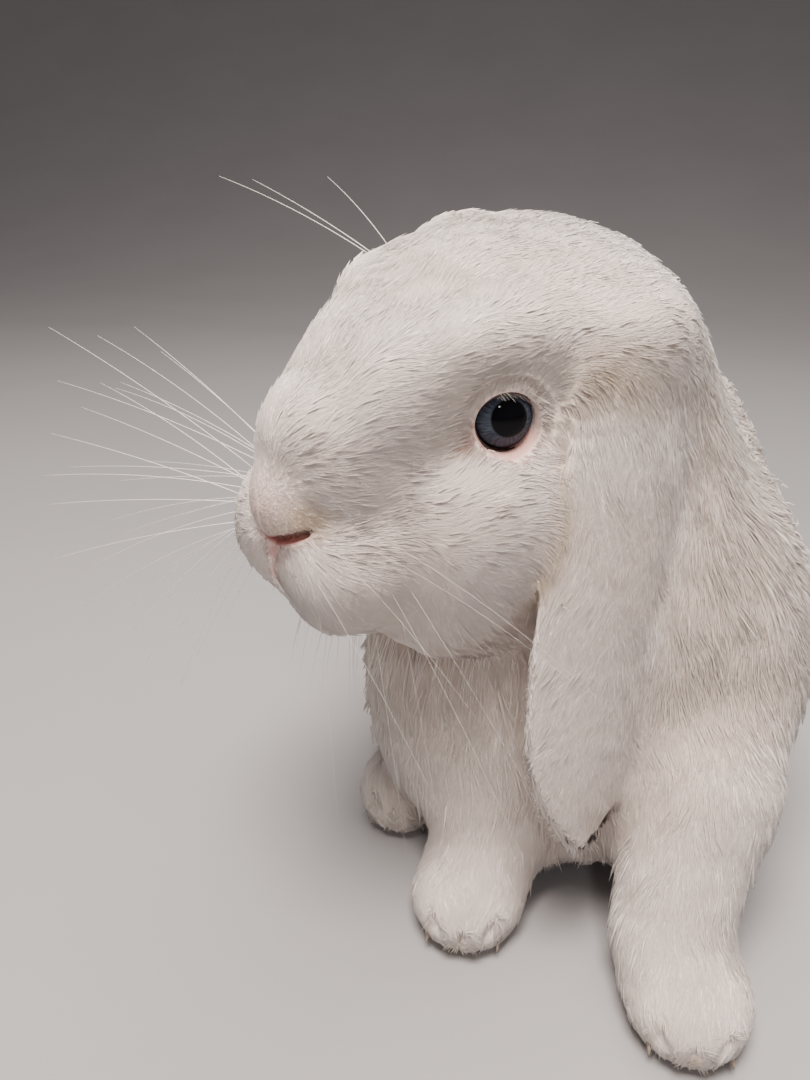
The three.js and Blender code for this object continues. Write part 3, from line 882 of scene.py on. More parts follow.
class Shader:
    """A material and its node tree while it is being built."""

    def __init__(self, name: str) -> None:
        """Starts a material with one Principled BSDF and its output."""
        self.material = bpy.data.materials.new(name)
        self.material.use_nodes = True
        self.tree = self.material.node_tree
        self.surface = self.tree.nodes["Principled BSDF"]

    def node(self, kind: str, **settings: object) -> bpy.types.Node:
        """Adds a node and sets its properties by name."""
        made = self.tree.nodes.new(kind)
        for name, value in settings.items():
            setattr(made, name, value)
        return made

    def link(self, source: bpy.types.NodeSocket, target: bpy.types.NodeSocket) -> None:
        """Joins two sockets."""
        self.tree.links.new(source, target)

    def set(self, **values: float | tuple) -> None:
        """Sets the surface's own sockets, named with underscores for spaces."""
        for name, value in values.items():
            self.surface.inputs[name.replace("_", " ")].default_value = value

    def coordinates(self) -> bpy.types.NodeSocket:
        """The place in the row frame, which is the object's own."""
        return self.node("ShaderNodeTexCoord").outputs["Object"]

    def attribute(self, name: str) -> bpy.types.NodeSocket:
        """A number stored on the mesh's points."""
        return self.node("ShaderNodeAttribute", attribute_name=name).outputs["Fac"]

    def noise(
        self, scale: float, detail: float = 3.0, where: bpy.types.NodeSocket | None = None
    ) -> bpy.types.NodeSocket:
        """A noise value, with scale in features to the metre, or to one unit of where."""
        made = self.node("ShaderNodeTexNoise")
        made.inputs["Scale"].default_value = scale
        made.inputs["Detail"].default_value = detail
        self.link(self.coordinates() if where is None else where, made.inputs["Vector"])
        return made.outputs["Fac"]

    def ranged(
        self,
        value: bpy.types.NodeSocket,
        low: float,
        high: float,
        to_low: float = 0.0,
        to_high: float = 1.0,
    ) -> bpy.types.NodeSocket:
        """A value carried smoothly from one range to another."""
        made = self.node("ShaderNodeMapRange", interpolation_type="SMOOTHSTEP")
        self.link(value, made.inputs["Value"])
        ends = {"From Min": low, "From Max": high, "To Min": to_low, "To Max": to_high}
        for name, number in ends.items():
            made.inputs[name].default_value = number
        return made.outputs["Result"]

    def times(self, value: bpy.types.NodeSocket, factor: float) -> bpy.types.NodeSocket:
        """A value times a number."""
        made = self.node("ShaderNodeMath", operation="MULTIPLY")
        self.link(value, made.inputs[0])
        made.inputs[1].default_value = factor
        return made.outputs[0]

    def mixed(
        self,
        share: bpy.types.NodeSocket | float,
        a: bpy.types.NodeSocket | tuple,
        b: bpy.types.NodeSocket | tuple,
        blend: str = "MIX",
    ) -> bpy.types.NodeSocket:
        """Two colours mixed, or one blended over the other."""
        made = self.node("ShaderNodeMix", data_type="RGBA", blend_type=blend)
        for value, socket in ((share, made.inputs[0]), (a, made.inputs[6]), (b, made.inputs[7])):
            if isinstance(value, bpy.types.NodeSocket):
                self.link(value, socket)
            else:
                socket.default_value = (*value, 1.0) if isinstance(value, tuple) else value
        return made.outputs[2]

    def bump(self, height: bpy.types.NodeSocket, depth: float, strength: float = 1.0) -> None:
        """Raises the surface by a height value times depth, in metres."""
        made = self.node("ShaderNodeBump")
        made.inputs["Strength"].default_value = strength
        made.inputs["Distance"].default_value = depth
        self.link(height, made.inputs["Height"])
        self.link(made.outputs["Normal"], self.surface.inputs["Normal"])


CREAM = (0.95, 0.81, 0.725)  # the coat's two whites, which meet in broad patches
PEARL = (0.94, 0.82, 0.755)


@dataclass(frozen=True)
class Spot:
    """A soft-edged round mark: its place on the left of the head's frame, and where it fades."""

    place: Triple
    inner: float
    outer: float
    strength: float = 1.0

    def share(self, q: Array, side: Side) -> Array:
        """How marked points of the head's frame are, with the spot on one side of the head."""
        middle = np.array(self.place) * (1, side.value, 1)
        return self.strength * smoothstep(self.outer, self.inner, length(q - middle))


class Marking(Enum):
    """A colour that marks skin and coat alike, stored on both as an attribute of its own."""

    FLUSH = (0.60, 0.27, 0.24)
    RAW = (0.36, 0.022, 0.02)
    TAN = (0.60, 0.44, 0.27)
    # grey of the whisker spots and the darker ear tips, and also painted shade beside the ears and
    # behind the eyes
    SMOKE = (0.20, 0.165, 0.155)

    def attribute(self) -> str:
        """The attribute's name."""
        return self.name.lower()


SPOTS = {
    Marking.FLUSH: (
        Spot((41, 0, -23), 3, 13, 0.36),
        Spot((39.5, 2.5, -32), 1, 5.5, 0.4),
        Spot((38.5, 0, -35), 1, 4.5, 0.75),
        Spot((38, 0, -41), 0.5, 4.0, 0.7),
        Spot((9.0, 21.6, -7.4), 1.4, 4.2, 1.0),
        Spot((11.6, 21.3, -8.6), 0.8, 3.6, 0.8),
    ),
    Marking.TAN: (
        Spot((38, 8.5, -22), 1.5, 7, 0.8),
        Spot((42, 4, -26), 1, 4.5, 0.5),
        Spot((10.5, 21.5, -9.0), 0.5, 4.0, 0.45),
    ),
    Marking.SMOKE: (
        Spot((35.9, 13.3, -20.0), 0.3, 1.3, 0.55),
        Spot((34.4, 15.2, -21.1), 0.4, 1.5, 0.75),
        Spot((33.3, 17.1, -22.9), 0.4, 1.5, 0.85),
        Spot((31.2, 18.5, -23.0), 0.4, 1.5, 0.75),
        Spot((32.6, 20.2, -26.5), 0.4, 1.5, 0.85),
        Spot((25.8, 19.6, -21.1), 0.4, 1.7, 0.65),
        Spot((26.3, 23.2, -27.9), 0.4, 1.6, 0.65),
    ),
    Marking.RAW: (),
}


def markings(body: Body, p: Array) -> dict[Marking, Array]:
    """How strongly each marking tints points near the skin, the strongest mark at each.

    Besides the round spots there are rings of flushed skin along the lids, dark skin behind the eye
    that is partly painted shade of the upper lid, raw linings in the nostrils, a yellow-brown line
    along the crease in front of each ear, dark ear tips, stained toes and flanks, and a band of
    painted shadow on the body beside the ears.

    Args:
        body: The rabbit.
        p: Points, in the body's frame.

    Returns:
        A share of 0 to 1 for each marking and point.
    """
    q = HEAD.to_head(p)
    marks = {mark: np.zeros(len(p)) for mark in Marking}

    def add(mark: Marking, share: Array) -> None:
        """Marks each point at least as strongly as its share."""
        marks[mark] = np.maximum(marks[mark], share)

    head = body.skull(q)
    over_ears = [ear.distance(p) for ear in body.ears]
    for side, ear, over in zip(Side, body.ears, over_ears, strict=True):
        for mark, spots in SPOTS.items():
            for spot in spots:
                add(mark, spot.share(q, side))
        off, v, w = EYE.opening(q, side)
        facing = smoothstep(-1, 2, w) * (w < SOCKET_DEPTH)
        ring = smoothstep(1.1, 0.1, off) * facing
        add(Marking.FLUSH, ring * (0.85 - 0.5 * smoothstep(-3, 2, v)))
        # partly painted shade: dark lid skin behind and above the eye, darkened also for the shade
        # under the hooded upper lid
        behind = smoothstep(-3.5, 0.5, v) * smoothstep(-2.5, -5.5, q[:, 0])
        add(Marking.SMOKE, 0.85 * (smoothstep(1.9, 0.4, off) * facing * behind))
        add(Marking.RAW, 0.95 * smoothstep(2.9, 1.1, nostril(q, side, 0.8, 0.5) + 0.5))
        crease = np.exp(-((over / 2.6) ** 2) - (head / 2.6) ** 2) * smoothstep(-34, -20, q[:, 0])
        add(Marking.TAN, 0.95 * crease)
        tip = smoothstep(0.93, 1.0, ear.local(p)[0]) * (np.abs(over) < 4)
        add(Marking.SMOKE, 0.22 * tip)
    for foot in (*body.forefeet, *body.hindfeet):
        reach = length(p[:, :2] - (foot.x, foot.toe + foot.wide / 2)) - foot.wide / 2
        toes = smoothstep(-4.5, 0.5, reach) * smoothstep(foot.toe + 12, foot.toe + 3, p[:, 1])
        near = (np.abs(p[:, 0] - foot.x) < foot.wide) * smoothstep(9, 3, p[:, 2])
        add(Marking.TAN, 0.6 * toes * near)
    ears = np.min(over_ears, axis=0)
    flank = smoothstep(0, 4, np.minimum(head, ears)) * smoothstep(35, 75, p[:, 2])
    add(Marking.TAN, 0.26 * flank)
    # painted shadow: a grey band on the body along the ears' edges, where the ears shade it
    beside = smoothstep(0.6, 2.0, ears) * smoothstep(6.0, 2.0, ears) * smoothstep(1, 4, head)
    add(Marking.SMOKE, 0.16 * beside)
    return marks


@dataclass(frozen=True)
class CoatFinish:
    """Dense white fur: matt, faintly warm, tinted by the markings, and darker towards its roots as
    painted shade.
    """

    colour: Triple = CREAM
    shade: Triple = (0.82, 0.72, 0.65)  # painted shade at the roots, and on the skin under the coat
    tone: Triple = (0.80, 0.68, 0.60)  # the darkest of the tufts
    bare: bool = False

    def material(self) -> bpy.types.Material:
        """The fur's material, or with bare the skin's under it, with fine hair as bump."""
        shader = Shader("skin_fur" if self.bare else "coat_fur")
        broad = shader.ranged(shader.noise(28.0), 0.35, 0.7)
        colour = shader.mixed(broad, self.colour, PEARL)
        for mark in Marking:
            colour = shader.mixed(shader.attribute(mark.attribute()), colour, mark.value)
        if self.bare:
            grain = shader.noise(1500.0, 2.0)
            # painted shade: the skin is mixed a little towards the shade colour, for the coat's
            # shadow on it
            colour = shader.mixed(0.12, colour, self.shade)
            shader.bump(grain, 0.0004, 0.5)
        else:
            # painted shade: the tufts darken towards their roots, for the shadow deep in the coat
            depth = shader.ranged(shader.attribute("along"), 0.0, 0.6, 0.08, 0.0)
            colour = shader.mixed(depth, colour, self.shade)
            colour = shader.mixed(shader.times(shader.attribute("tone"), 0.08), colour, self.tone)
        shader.link(colour, shader.surface.inputs["Base Color"])
        shader.set(Roughness=0.8, Specular_IOR_Level=0.2, Sheen_Weight=0.1, Sheen_Roughness=0.5)
        shader.set(Subsurface_Weight=0.5, Subsurface_Scale=0.0012)
        shader.set(Subsurface_Radius=(1.0, 0.92, 0.85))
        return shader.material


@dataclass(frozen=True)
class EyeFinish:
    """A wet eye: black pupil, blue-grey iris with a dark rim, and a flushed white beyond it."""

    pupil: Triple = (0.002, 0.002, 0.003)
    iris_dark: Triple = (0.026, 0.034, 0.050)
    iris_light: Triple = (0.072, 0.086, 0.118)
    iris_rim: Triple = (0.008, 0.008, 0.014)
    white: Triple = (0.30, 0.16, 0.15)
    streaks: Triple = (90.0, 14.0, 1.0)  # how finely the iris is streaked, round and outwards

    def material(self) -> bpy.types.Material:
        """Colours by the eye's own UV map, whose second part is the angle off its axis over 180."""
        shader = Shader("eye_wet")
        where = shader.node("ShaderNodeUVMap", uv_map="polar").outputs["UV"]
        parts = shader.node("ShaderNodeSeparateXYZ")
        shader.link(where, parts.inputs["Vector"])
        off = parts.outputs["Y"]
        stretch = shader.node("ShaderNodeVectorMath", operation="MULTIPLY")
        shader.link(where, stretch.inputs[0])
        stretch.inputs[1].default_value = self.streaks
        streak = shader.ranged(shader.noise(1.0, 4.0, stretch.outputs["Vector"]), 0.3, 0.7)
        iris = shader.mixed(streak, self.iris_dark, self.iris_light)
        pupil, rim = EYE.pupil / 180, EYE.iris / 180
        iris = shader.mixed(shader.ranged(off, rim - 0.045, rim - 0.012), iris, self.iris_rim)
        beyond = shader.ranged(off, pupil - 0.008, pupil + 0.012)
        inside = shader.mixed(beyond, self.pupil, iris)
        whole = shader.mixed(shader.ranged(off, rim, rim + 0.02), inside, self.white)
        shader.link(whole, shader.surface.inputs["Base Color"])
        shader.set(Roughness=0.5, Specular_IOR_Level=0.0)
        shader.set(Coat_Weight=0.4, Coat_Roughness=0.02, Coat_IOR=1.36)
        return shader.material


@dataclass(frozen=True)
class PlainFinish:
    """A small part's finish: two close colours in fine patches, with its own gloss."""

    name: str
    light: Triple
    dark: Triple
    roughness: float
    grain: float = 900.0
    coat: float = 0.0
    subsurface: float = 0.0

    def material(self) -> bpy.types.Material:
        """The part's material."""
        shader = Shader(self.name)
        share = shader.ranged(shader.noise(self.grain), 0.3, 0.7)
        colour = shader.mixed(share, self.light, self.dark)
        shader.link(colour, shader.surface.inputs["Base Color"])
        shader.bump(shader.noise(self.grain * 3), 0.0001, 0.4)
        shader.set(Roughness=self.roughness, Coat_Weight=self.coat, Coat_Roughness=0.1)
        shader.set(Subsurface_Weight=self.subsurface, Subsurface_Scale=0.001)
        return shader.material


# the lid margin's dark colour; where the rim is broadened over and behind the eye it is partly
# painted shade of the hooded upper lid
LID_RIM = PlainFinish("lid_rim_wet", (0.075, 0.035, 0.032), (0.03, 0.018, 0.018), 0.35, coat=0.4)
HAIR = PlainFinish("white_hair", (0.86, 0.84, 0.80), (0.74, 0.71, 0.68), 0.4)
CLAW = PlainFinish("claw_horn", (0.26, 0.21, 0.17), (0.15, 0.12, 0.10), 0.45)


# ------------------------------------------------------------------------------- skin


@dataclass
class Skin:
    """The one skin of the whole body, and what its coat needs to know at each of its points."""

    body: Body = field(default_factory=Body)
    face_step: float = 1.12  # mm between the grid's planes over the face
    points: Array = field(default_factory=lambda: np.zeros((0, 3)))
    faces: Array = field(default_factory=lambda: np.zeros((0, 3), int))
    normals: Array = field(default_factory=lambda: np.zeros((0, 3)))

    def grow(self) -> None:
        """Meshes the body, finely at the face and more coarsely at the rump."""
        f = self.face_step
        planes = (
            stretches((-90, -82, 2), (-82, 2, f), (2, 26, 1.5), (26, 78, 2.3)),
            stretches((-22, 74, f), (74, 104, 2), (104, 272, 3.8)),
            stretches((-1, 30, 1.6), (30, 86, 2.2), (86, 188, f)),
        )
        points, faces = surface_net(self.body.distance, planes)
        points = settled(self.body.distance, points, f / 2)
        points, faces = refined(points, faces, self.is_detailed(points))
        self.points = settled(self.body.distance, points, f / 2)
        self.faces = faces
        self.normals = unit(slope(self.body.distance, self.points))

    def is_detailed(self, p: Array) -> Array:
        """Whether points are near an eye, the nostrils or the mouth."""
        q = HEAD.to_head(p)
        spots = [(EYE.middle(side), 13.0) for side in Side]
        nose, mouth = np.array((38.0, 0, -28)), np.array((35.0, 0, -42))
        spots += [(nose, 12.0), (mouth, 11.0)]
        return np.any([length(q - middle) < reach for middle, reach in spots], axis=0)

    def piece(self) -> bpy.types.Object:
        """The skin's object, which stands for all the nodes of flesh."""
        skin = mesh_piece("skin", in_row(self.points), self.faces)
        skin.data.materials.append(CoatFinish(bare=True).material())
        for mark, share in markings(self.body, self.points).items():
            add_attribute(skin, mark.attribute(), share)
        flesh = [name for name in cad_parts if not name.startswith(("eye", "whiskers"))]
        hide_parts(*flesh)
        return skin


# ------------------------------------------------------------------------------- coat


@dataclass(frozen=True)
class Growth:
    """How the coat grows on one part of the body. Lengths in mm, angles in degrees."""

    long: float
    wide: float
    lift: float
    density: float  # tufts to the square millimetre


class Region(Enum):
    """The parts of the body whose coat differs."""

    HEAD = auto()
    EAR_LEFT = auto()
    EAR_RIGHT = auto()
    NECK = auto()
    TRUNK = auto()
    FORELEG_LEFT = auto()
    FORELEG_RIGHT = auto()
    FOREFOOT_LEFT = auto()
    FOREFOOT_RIGHT = auto()
    THIGH_LEFT = auto()
    THIGH_RIGHT = auto()
    HINDFOOT_LEFT = auto()
    HINDFOOT_RIGHT = auto()
    TAIL = auto()

    def growth(self) -> Growth:
        """How the coat grows here, the same on both sides."""
        return GROWTHS[self.name.removesuffix("_LEFT").removesuffix("_RIGHT")]


GROWTHS = {
    "HEAD": Growth(5.2, 0.22, 3.6, 5.0),
    "EAR": Growth(4.4, 0.24, 4.5, 4.3),
    "NECK": Growth(9.5, 0.24, 5.0, 3.4),
    "TRUNK": Growth(11.5, 0.30, 5.0, 1.5),
    "FORELEG": Growth(7.0, 0.24, 5.0, 3.8),
    "FOREFOOT": Growth(4.2, 0.22, 5.0, 5.0),
    "THIGH": Growth(11.0, 0.34, 6.0, 1.3),
    "HINDFOOT": Growth(4.8, 0.30, 6.0, 2.4),
    "TAIL": Growth(13.0, 0.45, 18.0, 1.6),
}


@dataclass(frozen=True)
class Trim:
    """A place in the head's frame about which hair is short: its reach and the least share kept."""

    place: Triple
    reach: float
    least: float


TRIMS = (
    Trim((42.0, 0, -24), 16.0, 0.22),  # the nose
    Trim((36.0, 0, -40), 13.0, 0.4),  # the lips
    *(Trim(tuple(EYE.middle(side)), 17.0, 0.36) for side in Side),
)


@dataclass
class Coat:
    """The coat: closed four-faced tufts in a few large pieces, one to each stretch of the body."""

    skin: Skin
    sink: float = 0.25  # how deep a root sits
    bend: float = 0.4  # where along its length a tuft bends over
    spread: float = 6.0  # degrees, between neighbours
    patch: float = 0.003  # a tuft's size on the baking map
    merge: float = 2.5  # mm over which one region's growth passes into the next
    sole: float = 1.2  # mm over the floor, below which no hair grows

    def distances(self, p: Array) -> Array:
        """The distance from each region, one column each, in the order of Region."""
        body = self.skin.body
        columns = [
            body.skull(HEAD.to_head(p)),
            *(ear.distance(p) for ear in body.ears),
            body.neck(p),
            body.trunk(p),
            *(body.foreleg(side, p) for side in Side),
            *(foot.distance(p) for foot in body.forefeet),
            *(body.thigh(side, p) for side in Side),
            *(foot.distance(p) for foot in body.hindfeet),
            body.tail(p),
        ]
        return np.stack(columns, axis=1)

    def head_flow(self, q: Array) -> Array:
        """The lie of the hair on the head: back from the nose, down the cheeks, round the eyes."""
        side, still = np.sign(q[:, 1]), np.zeros(len(q))
        low = smoothstep(-15, -45, q[:, 2])
        flow = np.stack([-1 + 0.45 * low, 0.25 * side * low, 0.12 - low], axis=1)
        lip = np.exp(-(((q - (34, 0, -38)) / (9, 18, 11)) ** 2).sum(axis=1))
        flow += lip[:, None] * np.stack([still, 1.1 * side, still - 0.5], axis=1)
        for eye in Side:
            away = q - EYE.middle(eye)
            near = np.exp(-(((length(away) - EYE.radius) / 5.0).clip(0) ** 2))
            flow += near[:, None] * (2.2 * unit(away) + (0, 0, 0.5))
        return flow @ HEAD.basis().T

    def flows(self, p: Array, n: Array) -> Array:
        """The lie of the hair in each region, one vector for each point and region.

        Args:
            p: Points on the skin.
            n: The skin's normals there.

        Returns:
            An array of points by regions by three.
        """

        def even(*lie: float) -> Array:
            """The same lie everywhere."""
            return np.tile(lie, (len(p), 1))

        steep = np.abs(n[:, 1])
        still = np.zeros(len(p))
        trunk = np.stack([still, 1 - steep, -0.35 - steep], axis=1)
        neck = np.stack([still + 0.1, 0.55 - 0.5 * steep, -0.6 - steep], axis=1)
        leg, thigh = even(0.0, -0.08, -1.0), trunk * (1, 0.8, 1.4)
        forefoot, hindfoot = even(0.0, -1.0, -0.45), even(0.0, -1.0, -0.2)
        tail = even(0.0, 0.6, 0.7)
        ears = []
        for ear in self.skin.body.ears:
            points, along, _, across = ear.line()
            nearest = np.argmin(length(p[:, None] - points[None]), axis=1)
            off = dot(p - points[nearest], across[nearest]) / ear.width
            ears.append(along[nearest] + 0.5 * off[:, None] * across[nearest])
        columns = [self.head_flow(HEAD.to_head(p)), *ears, neck, trunk, leg, leg]
        columns += [forefoot, forefoot, thigh, thigh, hindfoot, hindfoot, tail]
        return np.stack(columns, axis=1)

    def trim(self, p: Array) -> Array:
        """How much of its length the hair keeps: less about each trim, more under the jaw."""
        q = HEAD.to_head(p)
        keep = np.ones(len(p))
        for trim in TRIMS:
            away = smoothstep(0.5 * trim.reach, trim.reach, length(q - np.array(trim.place)))
            keep = np.minimum(keep, trim.least + (1 - trim.least) * away)
        low = smoothstep(-30, -46, q[:, 2])
        jaw = low * smoothstep(26, 12, q[:, 0]) * smoothstep(-50, -25, q[:, 0])
        return keep * (1 + 0.9 * jaw * (self.skin.body.skull(q) < 3))

    def bare(self, p: Array) -> Array:
        """Where no hair grows: inside the sockets, the nostrils and the mouth."""
        q = HEAD.to_head(p)
        naked = np.zeros(len(p), bool)
        for side in Side:
            off, _, w = EYE.opening(q, side)
            naked |= (off < 0.15) & (w > -2) & (w < SOCKET_DEPTH)
            naked |= length(q - EYE.middle(side)) < EYE.radius + 0.3
            naked |= nostril(q, side, 0.0, 1.7) < 0
        return naked | (Rod((40, 0, -32), 1.2, (38, 0, -45), 1.0).distance(q) < 0)

    def growth(self, p: Array, weight: Array) -> Array:
        """How the coat grows at points of the skin.

        Args:
            p: The points.
            weight: Each region's share of each point.

        Returns:
            Length, width, lift and density, one column each.
        """
        kinds = [region.growth() for region in Region]
        growth = weight @ np.array([(g.long, g.wide, g.lift, g.density) for g in kinds])
        keep = self.trim(p)
        growth[:, 0] *= keep
        growth[:, 1] *= 0.55 + 0.45 * np.minimum(keep, 1)
        growth[:, 3] *= np.where(self.bare(p), 0, 1 + 0.8 * (1 - np.minimum(keep, 1)))
        growth[:, 3] *= p[:, 2] > self.sole
        return growth

    def grow(self) -> list[bpy.types.Object]:
        """Scatters the roots over the skin and builds the pieces."""
        rng = np.random.default_rng(SEED)
        p, n, faces = self.skin.points, self.skin.normals, self.skin.faces
        weight = np.exp(-np.clip(self.distances(p), -1, 40) / self.merge)
        weight /= weight.sum(axis=1, keepdims=True)
        flow = (unit(self.flows(p, n)) * weight[..., None]).sum(axis=1)
        growth = self.growth(p, weight)
        corner = p[faces]
        area = length(np.cross(corner[:, 1] - corner[:, 0], corner[:, 2] - corner[:, 0])) / 2
        expected = area * growth[faces, 3].mean(axis=1)
        count = rng.poisson(expected)
        home = np.repeat(np.arange(len(faces)), count)
        share = rng.dirichlet((1, 1, 1), len(home))

        def blend(a: Array) -> Array:
            """A value of the skin's points, at each root."""
            return np.einsum("ij,ij...->i...", share, a[faces[home]])

        roots, normals = blend(p), unit(blend(n))
        owner = np.argmax(blend(weight), axis=1)
        tufts = Tufts(roots, normals, blend(flow), blend(growth), owner)
        tufts.comb(self.spread, rng)
        return [self.piece(tufts, name, chosen) for name, chosen in self.shares(tufts)]

    def shares(self, tufts: "Tufts") -> list[tuple[str, Array]]:
        """The tufts of each coat piece.

        Args:
            tufts: All the tufts.

        Returns:
            Names, each with a mask of its tufts.
        """
        order = list(Region)

        def owns(*names: str) -> Array:
            """Which tufts grow in the named regions."""
            return np.isin(tufts.owner, [order.index(Region[name]) for name in names])

        q = HEAD.to_head(tufts.roots)
        face, near_left = q[:, 0] > -8, q[:, 1] > 0
        left, back = tufts.roots[:, 0] > 0, tufts.roots[:, 1] > 135
        head, trunk = owns("HEAD"), owns("TRUNK")
        return [
            ("coat_face_left", head & near_left & face),
            ("coat_face_right", head & ~near_left & face),
            ("coat_crown_left", head & near_left & ~face),
            ("coat_crown_right", head & ~near_left & ~face),
            ("coat_ear_left", owns("EAR_LEFT")),
            ("coat_ear_right", owns("EAR_RIGHT")),
            ("coat_neck", owns("NECK")),
            ("coat_trunk_left", trunk & left & ~back),
            ("coat_trunk_right", trunk & ~left & ~back),
            ("coat_rump_left", trunk & left & back),
            ("coat_rump_right", trunk & ~left & back),
            ("coat_foreleg_left", owns("FORELEG_LEFT", "FOREFOOT_LEFT")),
            ("coat_foreleg_right", owns("FORELEG_RIGHT", "FOREFOOT_RIGHT")),
            ("coat_hindleg_left", owns("THIGH_LEFT", "HINDFOOT_LEFT")),
            ("coat_hindleg_right", owns("THIGH_RIGHT", "HINDFOOT_RIGHT")),
            ("coat_tail", owns("TAIL")),
        ]

    def chart(self, name: str, p: Array) -> Array:
        """An unwrap of one stretch of skin: the angle round its own axis, and how far along.

        Args:
            name: The piece.
            p: Points of the skin.

        Returns:
            Places in a square from 0.02 to 0.98.
        """
        if "face" in name or "crown" in name:
            q = HEAD.to_head(p) - (0.0, 0, -14)
            along = np.arccos(np.clip(q[:, 0] / length(q), -1, 1))
            around = np.arctan2(q[:, 1], q[:, 2])
        elif "ear" in name:
            ear = self.skin.body.ears[0 if "left" in name else 1]
            along, across, out, _ = ear.local(p)
            around = np.arctan2(out * 3, across)
        elif "trunk" in name or "rump" in name:
            along, around = p[:, 1], np.arctan2(p[:, 0], p[:, 2] - 70)
        elif "tail" in name:
            along, around = p[:, 2], np.arctan2(p[:, 0], p[:, 1] - 240)
        else:
            middle = p.mean(axis=0)
            along, around = p[:, 2], np.arctan2(p[:, 1] - middle[1], p[:, 0] - middle[0])
        pair = np.stack([around, along], axis=1)
        low, high = pair.min(axis=0), pair.max(axis=0)
        edge, across = 0.02, 0.96
        return edge + across * (pair - low) / np.maximum(high - low, 1e-6)

    def piece(self, tufts: "Tufts", name: str, chosen: Array) -> bpy.types.Object:
        """One coat piece with its tufts' tones and its baking map."""
        some = tufts.only(chosen)
        points, faces, shading = some.meshed(self.skin.body.distance, self.sink, self.bend)
        piece = mesh_piece(name, in_row(points), faces)
        piece.data.normals_split_custom_set_from_vertices(shading)
        rng = np.random.default_rng(SEED + len(points))
        add_attribute(piece, "tone", np.repeat(rng.random(len(some.roots)), Tufts.CORNERS))
        add_attribute(piece, "along", np.tile((0.0, self.bend, self.bend, 1.0), len(some.roots)))
        for mark, share in markings(self.skin.body, some.roots).items():
            add_attribute(piece, mark.attribute(), np.repeat(share, Tufts.CORNERS))
        offsets = np.array([(0, -0.5), (-0.5, 0), (0.5, 0), (0, 0.5)]) * self.patch
        uv = np.repeat(self.chart(name, some.roots), Tufts.CORNERS, axis=0)
        add_uv(piece, "OFBake", uv + np.tile(offsets, (len(some.roots), 1)))
        return piece


@dataclass
class Tufts:
    """Many tufts as arrays: roots, skin normals, lies, growth and regions."""

    roots: Array
    normals: Array
    lies: Array
    growth: Array
    owner: Array
    CORNERS: ClassVar[int] = 4
    KEEL: ClassVar[float] = 0.06  # the least depth of a tuft at its bend
    ROUND: ClassVar[float] = 0.12  # how far the shading turns to either side at the bend
    STRAYS: ClassVar[float] = 0.03  # the share of tufts that stand off the rest
    STRAY: ClassVar[Triple] = (1.1, 0.5, 2.8)  # a stray's length, width and lift, against the rest

    def comb(self, spread: float, rng: np.random.Generator) -> None:
        """Turns each lie into the skin's plane, with drifts shared by neighbours and some disorder.

        Args:
            spread: The disorder between neighbours, in degrees.
            rng: Where the disorder comes from.
        """
        n = self.normals
        flat = unit(self.lies - dot(self.lies, n)[:, None] * n)
        drift = 16 * ripple(self.roots, 9, 3) + 9 * ripple(self.roots, 26, 4)  # degrees
        angle = np.radians(drift + rng.normal(0, spread, len(n)))
        self.lies = flat * np.cos(angle)[:, None] + np.cross(n, flat) * np.sin(angle)[:, None]
        self.growth[:, 0] *= rng.uniform(0.72, 1.2, len(n)) * (1 + 0.08 * ripple(self.roots, 7, 5))
        self.growth[:, 1] *= rng.uniform(0.7, 1.3, len(n))
        lifting = 1 + 0.25 * ripple(self.roots, 6, 6) + rng.normal(0, 0.2, len(n))
        self.growth[:, 2] *= np.clip(lifting, 0.35, 1.9)
        stray = rng.random(len(n)) < self.STRAYS
        self.growth[:, :3] *= np.where(stray[:, None], self.STRAY, 1.0)

    def only(self, chosen: Array) -> "Tufts":
        """Some of the tufts."""
        arrays = (self.roots, self.normals, self.lies, self.growth, self.owner)
        return Tufts(*(array[chosen] for array in arrays))

    def meshed(self, form: Field, sink: float, bend: float) -> tuple[Array, Array, Array]:
        """The tufts as closed slips of four faces: a root, two corners at the bend, and a tip.

        The slip leaves the skin at its lift, beyond the bend rises at a third of that, and follows
        the skin's curve, but its bend stays above the chord from root to tip. Two faces look out,
        and two make a keel underneath.

        Args:
            form: The body's distance field.
            sink: How deep the root sits.
            bend: Where along its length it bends.

        Returns:
            Points, triangles, and the directions that the points are shaded by.
        """
        n, t = self.normals, self.lies
        long, wide, lift = (self.growth[:, i : i + 1] for i in range(3))
        rise = np.radians(lift)
        side = np.cross(n, t)
        high = long * bend * np.sin(rise)
        middle, n_middle = laid(form, self.roots + t * long * bend, n, high)
        higher = high + long * (1 - bend) * np.sin(rise / 3)
        tip, n_tip = laid(form, middle + t * long * (1 - bend), n, higher)
        chord = bend * dot(tip - self.roots, n) - (1 - bend) * sink
        short = chord + self.KEEL - dot(middle - self.roots, n)
        middle = middle + n * np.maximum(short, 0)[:, None]
        corners = [self.roots - n * sink, middle + side * wide / 2, middle - side * wide / 2, tip]
        points = np.stack(corners, axis=1).reshape(-1, 3)
        points[:, 2] = np.maximum(points[:, 2], FLOOR_CLEARANCE)
        shape = np.array([(0, 2, 1), (3, 1, 2), (0, 1, 3), (0, 3, 2)])
        faces = (shape[None] + np.arange(len(n))[:, None, None] * self.CORNERS).reshape(-1, 3)
        turned = self.ROUND * side
        shading = [n, unit(n_middle + turned), unit(n_middle - turned), n_tip]
        return points, faces, np.stack(shading, axis=1).reshape(-1, 3)


# ------------------------------------------------------------------------------- small parts


